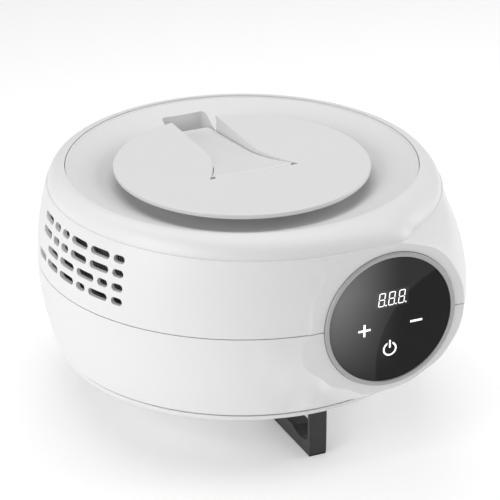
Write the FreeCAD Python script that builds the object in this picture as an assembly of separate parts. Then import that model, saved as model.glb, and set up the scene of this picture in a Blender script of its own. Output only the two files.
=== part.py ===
import FreeCAD, Part
import math
import os

# Filament dryer: a round drum with a lift-off lid, on three fold-out feet.
# Millimetres. Origin at the middle of the base's underside, +Z up, the control panel faces -Y.
# Azimuths are in degrees from the front (-Y) towards +X.

V = FreeCAD.Vector
X_AXIS, Y_AXIS, Z_AXIS = V(1, 0, 0), V(0, 1, 0), V(0, 0, 1)

# ---------------------------------------------------------------- driving dimensions
# drum
DRUM_R = 125.0            # largest radius, at the waist
BASE_R = DRUM_R - 11.1    # radius at the underside
CREST_R = DRUM_R - 6.6    # radius where the wall meets the cap
RIDGE_Z = 115.9           # top of the cap
WAIST_Z = RIDGE_Z / 2     # height of the largest radius and of the shell seam
CREST_Z = RIDGE_Z - 10.9  # top of the wall
WALL = 2.6                # shell wall
SEAM = 0.6                # visible gap between the shells
LIP_HEIGHT = 4.0          # joint lip above and below the seam
LIP_WALL = 1.5
LIP_FROM, LIP_TO = 92.0, 348.0
CREASE = 0.8              # step from the wall in to the cap
SKIRT_GAP = 4.0           # lower edge of the shell above the underside

# flat pad and flare around the control panel
PANEL_X = 37.0
PANEL_Z = WAIST_Z - 0.15
PAD_R = 48.5
PAD_Y = -DRUM_R
FLARE_SLOPE = 0.70        # growth of the flare's radius per mm behind the pad
FLARE_FADE = 0.0033       # how soon the flare closes on the drum
FLARE_NOSE = 14.0         # how far the flare would dome out if the pad did not cut it
FLARE_DROP = 1.08         # the flare is this much flatter below the panel's centre
FLAT_REACH = 65.0         # azimuth over which the upright front fades into the drum
SHOULDER_RISE = 9.6       # extra cap radius beside the pad
SHOULDER_FROM, SHOULDER_TO = 23.0, 83.0
BLEND = 3.0               # softness of the line where the flare leaves the drum
BLEND_LEFT = 10.0         # the same on the panel's lower left

# lid opening and chamber
SPOOL_R = 100.0
SPOOL_WIDTH = 66.0
SPOOL_PLAY = 2.5
LINER_WALL = 2.0
LID_PLAY = 0.4
COLLAR_WALL = 2.4
LEDGE_THICK = 2.0
SEAL_PLAY = 0.3
SEAL_THICK = 1.2
RIM_THICK = 2.5

# base
FLANGE_THICK = 2.3
FLOOR = 2.5
FIT = 0.2                 # gap between pieces that are screwed together
HOLE_PLAY = 0.05          # radial gap round screws, pins and shafts
MOVE_PLAY = 0.5           # gap round pieces that move

# feet
FOOT_AZIMUTHS = (0.0, 135.0, 225.0)
FOOT_FRONT = BASE_R - 8.9        # distance of the foot's front face from the axis
FOOT_LENGTH = 58.0
FOOT_WIDTH = 11.6
FOOT_CENTRE = 1.8         # sideways offset of the front foot
FOOT_DROP = 34.6          # sole below the base's underside
FOOT_STRAP = 2.5
SOLE_HEIGHT = 10.2
PAD_THICK = 1.5
SCALLOP_R = 20.0
PIN_R = 1.5
PIN_EDGE = 3.0            # from the pin to the foot's edge, to the side and above
POCKET_WALL = 1.8

# turntable, post and bearing
TABLE_R = 95.0
TABLE_Z = 23.0
TABLE_THICK = 3.0
HUB_R = 25.0
HUB_HEIGHT = 22.0
HUB_WALL = 3.0
BEARING_BORE_R, BEARING_R, BEARING_WIDTH = 4.0, 11.0, 7.0
RACE_WALL = 1.8
BALL_COUNT = 7
POST_R = 6.0
POST_FLANGE_R = 11.0

# diffuser
DIFFUSER_Z = 20.0
DIFFUSER_THICK = 2.0
DIFFUSER_HOLE_R = 2.5

# blower and heater
BLOWER_X, BLOWER_Y = -61.0, -17.0
BLOWER_SIZE = 50.0
BLOWER_HEIGHT = 13.0
BLOWER_WALL = 1.5
WHEEL_R = 20.0
WHEEL_BLADES = 24
HEATER_LENGTH = 20.0
HEATER_WIDTH = 28.0
HEATER_FINS = 9

# control panel
GLASS_R = 39.1
GLASS_THICK = 2.2
GLASS_PROUD = 0.5
BEZEL_R = 42.1
BEZEL_PROUD = 1.3
BEZEL_FLANGE_R = 44.3
DISPLAY_W, DISPLAY_H = 23.0, 12.6
BOARD_THICK = 1.6

# lid
DISH_FLOOR_Z = RIDGE_Z - 14.9
DISH_WALL = 2.4
DISH_FLAT_R = 62.6
DISH_ARC_R = 49.0
DISH_SLOPE = 23.3
DISC_R = 77.8
DISC_Z = RIDGE_Z - 1.7
DISC_THICK = 3.0
TAB_X = 1.0
TAB_HALF = 14.5
TAB_HINGE_HALF = 29.0
TAB_FRONT_Y = -16.0
TAB_FLARE_END = 27.0
TAB_END_Y = 86.0
TAB_END_Z = DISC_Z - 11.7
TAB_THICK = 2.5
TAB_BARREL_R = 2.4
TAB_BARREL_HALF = 24.8
TAB_PIN_R = 1.0
TAB_GAP = 0.45
POCKET_FLOOR_Z = DISH_FLOOR_Z - 3.0
POCKET_END_Y = 94.3

# vents
VENT_HEIGHT = 4.6
VENT_LONG, VENT_SHORT = 15.2, 8.0
VENT_Z = WAIST_Z + 12.8
VENT_PITCH = 8.4
VENT_END = -57.8          # azimuth of the field's front edge
VENT_GAP = 1.45           # degrees between slots
VENT_ROWS = ("SLSLLL", "SSLLL", "SLLSSL", "SLLSSL")

# ---------------------------------------------------------------- derived places
LINER_IN = SPOOL_R + SPOOL_PLAY
LINER_OUT = LINER_IN + LINER_WALL
COLLAR_IN = DRUM_R - 18.0
LID_R = COLLAR_IN - LID_PLAY
LEDGE_Z = RIDGE_Z - 4.9
TABLE_TOP = TABLE_Z + TABLE_THICK
FOOT_REAR = FOOT_FRONT - FOOT_LENGTH
FOOT_LEFT = FOOT_CENTRE - FOOT_WIDTH / 2
FOOT_RIGHT = FOOT_CENTRE + FOOT_WIDTH / 2
PIVOT_X = FOOT_RIGHT - PIN_EDGE
PIVOT_Z = PIN_EDGE + MOVE_PLAY + 0.3
POCKET_DEPTH = PIVOT_Z + math.hypot(FOOT_WIDTH - PIN_EDGE, PIN_EDGE) + 1.4
POCKET_ROOF = POCKET_DEPTH + POCKET_WALL
GLASS_FRONT = PAD_Y - GLASS_PROUD
GLASS_BACK = GLASS_FRONT + GLASS_THICK


# ---------------------------------------------------------------- helpers
def box(x0, x1, y0, y1, z0, z1):
    return Part.makeBox(x1 - x0, y1 - y0, z1 - z0, V(x0, y0, z0))


def cylinder(radius, z0, z1, x=0.0, y=0.0):
    return Part.makeCylinder(radius, z1 - z0, V(x, y, z0), Z_AXIS)


def ring(outer, inner, z0, z1, x=0.0, y=0.0):
    return cylinder(outer, z0, z1, x, y).cut(cylinder(inner, z0 - 1, z1 + 1, x, y))


def along_y(radius, y0, y1, x, z):
    return Part.makeCylinder(radius, y1 - y0, V(x, y0, z), Y_AXIS)


def along_x(radius, x0, x1, y, z):
    return Part.makeCylinder(radius, x1 - x0, V(x0, y, z), X_AXIS)


def panel_ring(outer, inner, y0, y1):
    return along_y(outer, y0, y1, PANEL_X, PANEL_Z).cut(
        along_y(inner, y0 - 1, y1 + 1, PANEL_X, PANEL_Z))


def union(shapes):
    first, *rest = shapes
    return first.multiFuse(rest).removeSplitter() if rest else first


def joined(first, others):
    """Shapes added to the first one at a time."""
    for other in others:
        first = first.fuse(other)
    return first


def at_azimuth(shape, azimuth):
    """A copy of a shape made at the front, turned about the drum's axis."""
    turned = shape.copy()
    turned.rotate(V(0, 0, 0), Z_AXIS, azimuth)
    return turned


def polar(radius, azimuth, z):
    a = math.radians(azimuth)
    return V(radius * math.sin(a), -radius * math.cos(a), z)


def revolve(points):
    """A solid of revolution about Z from a closed outline of (radius, z)."""
    wire = Part.makePolygon([V(r, 0, z) for r, z in points] + [V(points[0][0], 0, points[0][1])])
    return Part.Face(wire).revolve(V(0, 0, 0), Z_AXIS, 360)


def sector(outer, inner, z0, z1, azimuth0, azimuth1):
    """Part of a ring between two azimuths."""
    face = Part.Face(Part.makePolygon([V(0, -r, z) for r, z in
                                       ((inner, z0), (outer, z0), (outer, z1), (inner, z1), (inner, z0))]))
    swept = face.revolve(V(0, 0, 0), Z_AXIS, azimuth1 - azimuth0)
    return at_azimuth(swept, azimuth0)


def screw(radius, length, head_radius, head_height):
    """A screw pointing up, with the underside of its head at z = 0."""
    shank = cylinder(radius, 0, length)
    head = cylinder(head_radius, -head_height, 0)
    slot = box(-head_radius * 0.6, head_radius * 0.6, -0.35, 0.35, -head_height - 1, -head_height * 0.5)
    cross = slot.copy()
    cross.rotate(V(0, 0, 0), Z_AXIS, 90)
    return shank.fuse(head).cut(slot).cut(cross)


def placed(shape, position, axis=Z_AXIS):
    """A copy of a shape made along +Z, moved to a position and pointed along an axis."""
    copy = shape.copy()
    copy.Placement = FreeCAD.Placement(position, FreeCAD.Rotation(Z_AXIS, axis))
    return copy


# ---------------------------------------------------------------- drum skin
def drum_radius(z):
    if z < WAIST_Z:
        return DRUM_R - (DRUM_R - BASE_R) * ((WAIST_Z - z) / WAIST_Z) ** 2
    return DRUM_R - (DRUM_R - CREST_R) * ((z - WAIST_Z) / (CREST_Z - WAIST_Z)) ** 2


def front_share(azimuth):
    """How far the wall is drawn out to the flat front: 1 at the front, 0 at the left and rear."""
    if azimuth > 0:
        return 0.0
    return max(0.0, 1 + azimuth / FLAT_REACH) ** 1.6


def pad_radius(azimuth):
    """The pad's plane as a radius, a little in front of it so that the plane cuts it."""
    return (abs(PAD_Y) + 0.4) / math.cos(math.radians(azimuth))


def fading(value, start, end):
    """1 up to the start, 0 beyond the end, and smooth in between."""
    share = min(1.0, max(0.0, (end - value) / (end - start)))
    return share * share * (3 - 2 * share)


def wall_radius(azimuth, z):
    """The drum with its upright front, without the flare."""
    drum = drum_radius(z)
    if z <= WAIST_Z:
        return drum
    if azimuth <= 0:
        return drum + front_share(azimuth) * (DRUM_R - drum)
    upright = fading(-z, -WAIST_Z - 16, -WAIST_Z) * fading(azimuth, 17, 34)
    return drum + upright * (pad_radius(azimuth) - drum) * fading(-azimuth, -5, 1)\
        + (DRUM_R - drum) * fading(azimuth, -1, 5)


def flare_reach(depth):
    """Radius of the flare about the panel's axis, at a depth behind the pad."""
    if depth < 0:
        dome = (PAD_R - FLARE_SLOPE * FLARE_NOSE) / FLARE_NOSE ** 2
        return PAD_R + FLARE_SLOPE * depth - dome * depth ** 2
    return PAD_R + FLARE_SLOPE * depth - FLARE_FADE * depth ** 2


def flare_radius(azimuth, z):
    """Outermost radius of the flare, a round body about the panel's axis, or 0 where it is missed."""
    rise = z - PANEL_Z
    if rise < 0:
        rise *= FLARE_DROP
    radius = 165.0
    while radius > 95.0:
        point = polar(radius, azimuth, z)
        depth = point.y - PAD_Y
        if -FLARE_NOSE < depth < 140.0:
            if math.hypot(point.x - PANEL_X, rise) < flare_reach(depth):
                return radius
        radius -= 0.05
    return 0.0


def crest_radius(azimuth):
    """Outline of the wall's top edge."""
    plain = wall_radius(azimuth, CREST_Z)
    if azimuth <= 0 or azimuth >= SHOULDER_TO:
        return plain
    share = (SHOULDER_TO - max(azimuth, SHOULDER_FROM)) / (SHOULDER_TO - SHOULDER_FROM)
    shoulder = drum_radius(CREST_Z) + SHOULDER_RISE * share ** 1.3
    return max(plain, shoulder) if azimuth > 12 else plain


def skin_radius(azimuth, z):
    if z >= CREST_Z:
        return crest_radius(azimuth)
    wall = wall_radius(azimuth, z)
    if z <= SKIRT_GAP:
        return wall
    flare = flare_radius(azimuth, z)
    soft = BLEND
    if z < WAIST_Z:
        soft += (BLEND_LEFT - BLEND) * fading(azimuth, 6, 24)
    return (wall + flare + math.hypot(wall - flare, soft)) / 2


SKIN_STEP = 3
AZIMUTHS = [-180 + SKIN_STEP * i for i in range(360 // SKIN_STEP)]


def closed_curve(radius_at, z):
    """A smooth closed curve at a height, from a radius for each azimuth."""
    points = [polar(radius_at(azimuth), azimuth, z) for azimuth in AZIMUTHS]
    curve = Part.BSplineCurve()
    curve.interpolate(Points=points, PeriodicFlag=True,
                      Parameters=[float(i) for i in range(len(points) + 1)])
    return Part.Wire([curve.toShape()])


def skin_solid(inset, plane_y):
    """The drum's wall as a solid, drawn in by an inset and cut flat in front."""
    heights = (SKIRT_GAP, 16, 30, 44, WAIST_Z, 72, 86, 96, CREST_Z)
    wires = []
    for z in heights:
        drop = -0.5 if inset and z == SKIRT_GAP else 0.0
        wires.append(closed_curve(lambda azimuth: skin_radius(azimuth, z) - inset, z + drop))
    solid = Part.makeLoft(wires, True, False)
    return solid.common(box(-200, 200, plane_y, 200, -10, 200))


def cap_solid(inset, plane_y, top, bottom):
    """The rounded cap from the wall's top edge up to the ridge."""
    ridge = COLLAR_IN + 0.6
    rise = top - bottom
    wires = []
    for share in (0.0, 0.25, 0.45, 0.62, 0.77, 0.88, 0.96, 1.0):
        swell = math.sqrt(max(0.0, 1 - (0.08 + 0.92 * share) ** 2)) / math.sqrt(1 - 0.08 ** 2)
        wires.append(closed_curve(
            lambda azimuth: ridge + (crest_radius(azimuth) - CREASE - inset - ridge) * swell,
            bottom + rise * share))
    solid = Part.makeLoft(wires, True, False)
    return solid.common(box(-200, 200, plane_y, 200, -10, 200))


# ---------------------------------------------------------------- shells
SHELL_SCREWS = (80, -35, 145, -150)
SHELL_POST_R = DRUM_R - 12.5
SHELL_POST_LOW, SHELL_POST_HIGH = WAIST_Z - 34.0, WAIST_Z + 14.0
SHELL_HEAD_Z = WAIST_Z - 14.0
BASE_SCREWS = (25, 85, 152, -166, -100, -35)
BASE_POST_R = BASE_R - 4.6


def posts_at(azimuths, radius, post_r, z0, z1, skin):
    """Screw posts webbed to the wall and trimmed to its outer face."""
    post = cylinder(post_r, z0, z1, 0, -radius).fuse(box(-1.2, 1.2, -radius - 18, -radius, z0, z1))
    return [at_azimuth(post, azimuth).common(skin) for azimuth in azimuths]


def vent_slots():
    """Staggered rows of round-ended slots through the left wall."""
    slots = []
    for row, pattern in enumerate(VENT_ROWS):
        z = VENT_Z + VENT_PITCH * row
        azimuth = VENT_END
        for mark in pattern:
            length = VENT_LONG if mark == "L" else VENT_SHORT
            radius = drum_radius(z)
            half = math.degrees(length / 2 / radius)
            azimuth -= half
            straight = length / 2 - VENT_HEIGHT / 2
            ends = [along_y(VENT_HEIGHT / 2, -radius - 12, -radius + 8, side * straight, z) for side in (-1, 1)]
            middle = box(-straight, straight, -radius - 12, -radius + 8, z - VENT_HEIGHT / 2, z + VENT_HEIGHT / 2)
            slots.append(at_azimuth(union([middle] + ends), azimuth))
            azimuth -= half + VENT_GAP
    return slots


BUSH_AZIMUTH = 150.0
BUSH_Z = WAIST_Z + 17.0
BUSH_R = 4.5
INLET_Z = 12.0
INLET_R = 4.2


def bush_hole():
    return at_azimuth(along_y(BUSH_R + HOLE_PLAY, -DRUM_R - 15, -LINER_IN + 8, 0, BUSH_Z), BUSH_AZIMUTH)


def panel_clips(upper):
    """Two hooks on the pad that hold the bezel's flange from behind."""
    clips = []
    for angle in ((60, 120) if upper else (240, 300)):
        web = box(-2.5, 2.5, PAD_Y + WALL - 0.6, PAD_Y + WALL + 3.4,
                  BEZEL_FLANGE_R + FIT, BEZEL_FLANGE_R + 1.8)
        nib = box(-2.5, 2.5, PAD_Y + WALL + 2.0, PAD_Y + WALL + 3.4,
                  BEZEL_FLANGE_R - 1.4, BEZEL_FLANGE_R + 1.8)
        clip = web.fuse(nib)
        clip.rotate(V(0, 0, 0), Y_AXIS, 90 - angle)
        clip.translate(V(PANEL_X, 0, PANEL_Z))
        clips.append(clip)
    return clips


def make_shells():
    outer = skin_solid(0.0, PAD_Y)
    inner = skin_solid(WALL, PAD_Y + WALL)
    wall = outer.cut(inner)
    panel_hole = along_y(BEZEL_R + 0.3, PAD_Y - 5, PAD_Y + 12, PANEL_X, PANEL_Z)

    lower = wall.common(box(-200, 200, -200, 200, 0, WAIST_Z - SEAM / 2))
    lip_r = DRUM_R - WALL - FIT
    lip_base = WAIST_Z - LIP_HEIGHT
    lip = sector(lip_r, lip_r - LIP_WALL, lip_base, WAIST_Z + LIP_HEIGHT, LIP_FROM, LIP_TO)
    lip_root = sector(lip_r + 1.4, lip_r - LIP_WALL, lip_base, WAIST_Z - SEAM / 2, LIP_FROM, LIP_TO)
    for azimuth in SHELL_SCREWS:
        lip = lip.cut(at_azimuth(box(-2.0, 2.0, -DRUM_R, -lip_r + 3.0, WAIST_Z, WAIST_Z + 9), azimuth))
    lower = joined(lower, [lip.fuse(lip_root)])

    cap = cap_solid(0.0, PAD_Y, RIDGE_Z, CREST_Z - 0.5).cut(
        cap_solid(WALL, PAD_Y + WALL, RIDGE_Z - WALL, CREST_Z - 0.6))
    ridge_in = cylinder(COLLAR_IN, CREST_Z - 2, RIDGE_Z + 5)
    collar = ring(COLLAR_IN + COLLAR_WALL, COLLAR_IN, LEDGE_Z - LEDGE_THICK, RIDGE_Z - 1.0)
    ledge = ring(COLLAR_IN + COLLAR_WALL, LINER_IN + 0.3, LEDGE_Z - LEDGE_THICK, LEDGE_Z)
    upper = wall.common(box(-200, 200, -200, 200, WAIST_Z + SEAM / 2, 200))
    upper = upper.fuse(cap.cut(ridge_in).fuse(collar).fuse(ledge))

    lower_posts = posts_at(SHELL_SCREWS, SHELL_POST_R, 4.5, SHELL_POST_LOW, WAIST_Z - SEAM / 2, outer)
    upper_posts = posts_at(SHELL_SCREWS, SHELL_POST_R, 4.5, WAIST_Z + SEAM / 2, SHELL_POST_HIGH, outer)
    base_posts = posts_at(BASE_SCREWS, BASE_POST_R, 3.8, FLOOR + 3.2, 16, outer)
    lower = joined(lower, lower_posts + base_posts + panel_clips(False))
    upper = joined(upper, upper_posts + panel_clips(True))

    for azimuth in SHELL_SCREWS:
        shank = cylinder(1.5 + HOLE_PLAY, SHELL_POST_LOW - 4, SHELL_POST_HIGH - 3, 0, -SHELL_POST_R)
        hole = shank.fuse(cylinder(3.1, SHELL_POST_LOW - 14, SHELL_HEAD_Z, 0, -SHELL_POST_R))
        hole = at_azimuth(hole, azimuth)
        lower, upper = lower.cut(hole), upper.cut(hole)
    for azimuth in BASE_SCREWS:
        lower = lower.cut(at_azimuth(cylinder(1.5 + HOLE_PLAY, 0, 14.5, 0, -BASE_POST_R), azimuth))

    inlet = at_azimuth(along_y(INLET_R + 0.3, -DRUM_R, -BASE_R + 5.9, 0, INLET_Z), 180)
    lower = lower.cut(panel_hole).cut(inlet)
    upper = upper.cut(panel_hole).cut(bush_hole()).cut(Part.makeCompound(vent_slots()))
    return lower, upper


# ---------------------------------------------------------------- base and feet
def foot_pocket():
    """Walls and hollow of the recess that a folded foot swings into, at the front."""
    left = PIVOT_X - math.hypot(FOOT_DROP + PIVOT_Z, FOOT_WIDTH - PIN_EDGE) - MOVE_PLAY
    right = PIVOT_X + math.hypot(PIN_EDGE, PIN_EDGE) + MOVE_PLAY
    front, rear = -FOOT_FRONT - MOVE_PLAY, -FOOT_REAR + MOVE_PLAY
    walls = box(left - POCKET_WALL, right + POCKET_WALL, front - POCKET_WALL, rear + POCKET_WALL, 0, POCKET_ROOF)
    hollow = box(left, right, front, rear, -1, POCKET_DEPTH).common(cylinder(BASE_R - 3.0, -1, POCKET_ROOF))
    pin = along_y(PIN_R + HOLE_PLAY, front - POCKET_WALL + 0.4, rear + POCKET_WALL + 1, PIVOT_X, PIVOT_Z)
    return walls, hollow, pin


STEP_R = BASE_R - 1.9
LINER_POSTS = (35, 75, 152, -168, -90, -40)
LINER_POST_R = 99.5
BOARD_X0, BOARD_X1, BOARD_Y0, BOARD_Y1, BOARD_Z = -4.0, 42.0, 62.0, 94.0, 7.0
BOARD_HOLE_INSET = 4.0


def board_corners(x0, x1, y0, y1, inset):
    return [(x, y) for x in (x0 + inset, x1 - inset) for y in (y0 + inset, y1 - inset)]


def blower_corners():
    reach = BLOWER_SIZE / 2 - 3.5
    return [(BLOWER_X + sx * reach, BLOWER_Y + sy * reach) for sx, sy in ((-1, -1), (-1, 1), (1, 1))]


def make_base():
    floor = cylinder(BASE_R, 0, FLANGE_THICK).fuse(cylinder(STEP_R, 0, FLOOR))
    rim = ring(STEP_R, STEP_R - 2.0, 0, SKIRT_GAP + 1.5)
    solid = [floor, rim]
    hollows = []
    for azimuth in FOOT_AZIMUTHS:
        walls, hollow, pin = foot_pocket()
        solid.append(at_azimuth(walls.common(cylinder(STEP_R, 0, POCKET_ROOF)), azimuth))
        hollows += [at_azimuth(hollow, azimuth), at_azimuth(pin, azimuth)]
    solid.append(cylinder(POST_FLANGE_R, 0, 8.0))
    hollows.append(cylinder(5.0 + HOLE_PLAY, FLOOR, 9.0))
    for azimuth in LINER_POSTS:
        point = polar(LINER_POST_R, azimuth, 0)
        solid.append(cylinder(3.0, 0, LINER_SEAT, point.x, point.y))
        hollows.append(cylinder(1.25 + HOLE_PLAY, 8, LINER_SEAT + 1, point.x, point.y))
    for x, y in board_corners(BOARD_X0, BOARD_X1, BOARD_Y0, BOARD_Y1, BOARD_HOLE_INSET):
        solid.append(cylinder(3.2, 0, BOARD_Z, x, y))
        hollows.append(cylinder(1.25 + HOLE_PLAY, FLOOR, BOARD_Z + 1, x, y))
    for x, y in blower_corners():
        solid.append(cylinder(3.4, 0, BLOWER_Z, x, y))
        hollows.append(cylinder(1.25 + HOLE_PLAY, 1.2, BLOWER_Z + 1, x, y))
    solid.append(box(-5.5, 5.5, BASE_R - 12.9, BASE_R - 3.9, 0, INLET_Z - 5.5))
    for azimuth in BASE_SCREWS:
        point = polar(BASE_POST_R, azimuth, 0)
        boss = cylinder(3.8, 0, SKIRT_GAP + 1.5, point.x, point.y)
        solid.append(boss.common(cylinder(STEP_R, 0, SKIRT_GAP + 1.5)))
        hollows.append(cylinder(1.5 + HOLE_PLAY, -1, 9, point.x, point.y))
        hollows.append(cylinder(3.1, -1, 1.9, point.x, point.y))
    for i in range(7):
        x = 40.0 + 6.0 * i
        hollows.append(box(x, x + 2.4, -62 + 3.0 * i, -30, -1, FLOOR + 1))
    hollows.append(box(-22, 22, 10, 34, -1, 0.4))
    return union(solid).cut(Part.makeCompound(hollows))


def make_foot():
    """The front foot: two straps joined by a sole, hung on a pin along Y."""
    front, rear = -FOOT_FRONT, -FOOT_REAR
    sole_z = -FOOT_DROP + PAD_THICK
    top = PIVOT_Z + PIN_EDGE
    body = box(FOOT_LEFT, FOOT_RIGHT, front, rear, sole_z, top)
    window = box(FOOT_LEFT - 1, FOOT_RIGHT + 1, front + FOOT_STRAP, rear - FOOT_STRAP,
                 -FOOT_DROP + SOLE_HEIGHT, top + 1)
    body = body.cut(window)
    between = box(FOOT_LEFT - 1, FOOT_RIGHT + 1, front + FOOT_STRAP, rear - FOOT_STRAP, -FOOT_DROP, top)
    for y in (front + 13.0, rear - 16.0):
        scallop = along_x(SCALLOP_R, FOOT_LEFT - 1, FOOT_RIGHT + 1, y, -FOOT_DROP + SOLE_HEIGHT + SCALLOP_R - 2.4)
        body = body.cut(scallop.common(between))
    body = body.cut(along_y(PIN_R + HOLE_PLAY, front - 1, rear + 1, PIVOT_X, PIVOT_Z))
    edges = [edge for edge in body.Edges
             if abs(edge.BoundBox.ZMin - sole_z) < 1e-6 and edge.BoundBox.ZMax - sole_z > 5
             and edge.BoundBox.XLength < 1e-6 and edge.BoundBox.XMin > FOOT_CENTRE]
    return body.makeFillet(1.0, edges) if edges else body


def make_foot_pad():
    return box(FOOT_LEFT + 0.5, FOOT_RIGHT - 0.5, -FOOT_FRONT + 0.5, -FOOT_REAR - 0.5,
               -FOOT_DROP, -FOOT_DROP + PAD_THICK)


def make_foot_pins():
    pin = along_y(PIN_R, -FOOT_FRONT - MOVE_PLAY - POCKET_WALL + 0.6,
                  -FOOT_REAR + MOVE_PLAY + POCKET_WALL, PIVOT_X, PIVOT_Z)
    return Part.makeCompound([at_azimuth(pin, azimuth) for azimuth in FOOT_AZIMUTHS])


# ---------------------------------------------------------------- chamber
LINER_SEAT = 18.0
LINER_LIP_IN = TABLE_R - 0.5
SENSOR_AZIMUTH, SENSOR_Z = -30.0, WAIST_Z + 4.0


def make_liner():
    flange_top = LEDGE_Z - LEDGE_THICK - FIT
    liner = revolve([(LINER_LIP_IN, LINER_SEAT), (LINER_OUT, LINER_SEAT), (LINER_OUT, flange_top - 1.6),
                     (COLLAR_IN + COLLAR_WALL - FIT, flange_top - 1.6), (COLLAR_IN + COLLAR_WALL - FIT, flange_top),
                     (LINER_IN, flange_top), (LINER_IN, DIFFUSER_Z), (LINER_LIP_IN, DIFFUSER_Z)])
    sensor = at_azimuth(along_y(4.0, -LINER_OUT - 2, -LINER_IN + 4, 0, SENSOR_Z), SENSOR_AZIMUTH)
    holes = [sensor, bush_hole()]
    for azimuth in LINER_POSTS:
        point = polar(LINER_POST_R, azimuth, 0)
        holes.append(cylinder(1.25 + HOLE_PLAY, 10, 30, point.x, point.y))
    return liner.cut(Part.makeCompound(holes))


def make_diffuser():
    plate = cylinder(LINER_IN - 0.3, DIFFUSER_Z, DIFFUSER_Z + DIFFUSER_THICK)
    holes = [cylinder(POST_R + 1.0, 10, 30)]
    for row in range(5):
        radius = 30.0 + 14.0 * row
        count = 12 + 6 * row
        for i in range(count):
            point = polar(radius, 360.0 * i / count + 7.5 * row, 0)
            holes.append(cylinder(DIFFUSER_HOLE_R, 10, 30, point.x, point.y))
    for azimuth in LINER_POSTS:
        point = polar(LINER_POST_R, azimuth, 0)
        holes.append(cylinder(1.25 + HOLE_PLAY, 10, 30, point.x, point.y))
    return plate.cut(Part.makeCompound(holes))


def make_liner_screws():
    length = DIFFUSER_Z + DIFFUSER_THICK - 9.0
    one = screw(1.25, length, 2.2, 1.4)
    return Part.makeCompound([placed(one, polar(LINER_POST_R, azimuth, DIFFUSER_Z + DIFFUSER_THICK), V(0, 0, -1))
                              for azimuth in LINER_POSTS])


# ---------------------------------------------------------------- turntable
RACE_Z = TABLE_Z + 1.4
BOSS_R = BEARING_R + 3.0
BOSS_TOP = RACE_Z + BEARING_WIDTH + 2.0
HUB_SCREW_R = 18.5


def hub_screw_points():
    return [polar(HUB_SCREW_R, 120.0 * i, 0) for i in range(3)]


def make_turntable():
    plate = cylinder(TABLE_R, TABLE_Z, TABLE_TOP)
    boss = cylinder(BOSS_R, TABLE_Z, BOSS_TOP)
    rim = ring(TABLE_R, TABLE_R - 2.0, TABLE_Z, TABLE_TOP + 1.2)
    holes = [cylinder(BEARING_R + HOLE_PLAY, RACE_Z, BOSS_TOP + 1), cylinder(BEARING_R - RACE_WALL, 10, 40)]
    for row, count in ((42.0, 10), (68.0, 16)):
        for i in range(count):
            slot = box(-2.5, 2.5, -row - 9, -row + 9, TABLE_Z - 1, TABLE_TOP + 1)
            holes.append(at_azimuth(slot, 360.0 * i / count))
    for point in hub_screw_points():
        holes.append(cylinder(1.5 + HOLE_PLAY, 10, 40, point.x, point.y))
    return union([plate, boss, rim]).cut(Part.makeCompound(holes))


def make_hub():
    top = TABLE_TOP + HUB_HEIGHT
    outer = cylinder(HUB_R, TABLE_TOP, top)
    outer = outer.makeChamfer(2.0, [edge for edge in outer.Edges if abs(edge.BoundBox.ZMin - top) < 1e-6
                                    and edge.BoundBox.ZLength < 1e-6])
    hub = outer.cut(cylinder(HUB_R - HUB_WALL, TABLE_TOP - 1, top - HUB_WALL))
    posts = [cylinder(3.4, TABLE_TOP, top - HUB_WALL, point.x, point.y) for point in hub_screw_points()]
    hub = union([hub] + posts)
    holes = []
    for point in hub_screw_points():
        holes.append(cylinder(1.5 + HOLE_PLAY, 10, 60, point.x, point.y))
        holes.append(cylinder(3.0, top - 2.6, top + 1, point.x, point.y))
    return hub.cut(Part.makeCompound(holes))


def make_hub_screws():
    head_z = TABLE_TOP + HUB_HEIGHT - 2.6
    one = screw(1.5, head_z - TABLE_Z - 0.2, 2.8, 2.0)
    return Part.makeCompound([placed(one, V(point.x, point.y, head_z), V(0, 0, -1)) for point in hub_screw_points()])


def make_bearing():
    top = RACE_Z + BEARING_WIDTH
    inner = ring(BEARING_BORE_R + RACE_WALL, BEARING_BORE_R + 0.02, RACE_Z, top)
    outer = ring(BEARING_R, BEARING_R - RACE_WALL, RACE_Z, top)
    gap = BEARING_R - BEARING_BORE_R - 2 * RACE_WALL
    middle = BEARING_BORE_R + RACE_WALL + gap / 2
    balls = [Part.makeSphere(gap / 2 - 0.03, polar(middle, 360.0 * i / BALL_COUNT, RACE_Z + BEARING_WIDTH / 2))
             for i in range(BALL_COUNT)]
    return inner, outer, Part.makeCompound(balls)


def make_post():
    return union([cylinder(5.0, FLOOR, 8.0), cylinder(POST_FLANGE_R, 8.0, 10.0), cylinder(POST_R, 10.0, RACE_Z),
                  cylinder(BEARING_BORE_R, RACE_Z, RACE_Z + BEARING_WIDTH + 0.6),
                  cylinder(3.2, RACE_Z + BEARING_WIDTH, RACE_Z + BEARING_WIDTH + 1.6),
                  cylinder(BEARING_BORE_R, RACE_Z + BEARING_WIDTH + 1.3, RACE_Z + BEARING_WIDTH + 2.3)])


def make_clip():
    clip = ring(BEARING_BORE_R + RACE_WALL - 0.4, 3.25, RACE_Z + BEARING_WIDTH + 0.65, RACE_Z + BEARING_WIDTH + 1.25)
    return clip.cut(box(-1.4, 1.4, -10, 0, 20, 40))


# ---------------------------------------------------------------- air
BLOWER_Z = 4.0
BLOWER_TOP = BLOWER_Z + BLOWER_HEIGHT
OUTLET_Y0 = BLOWER_Y - BLOWER_SIZE / 2
OUTLET_Y1 = OUTLET_Y0 + HEATER_WIDTH
OUTLET_X = BLOWER_X + BLOWER_SIZE / 2 + 1.4


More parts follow.
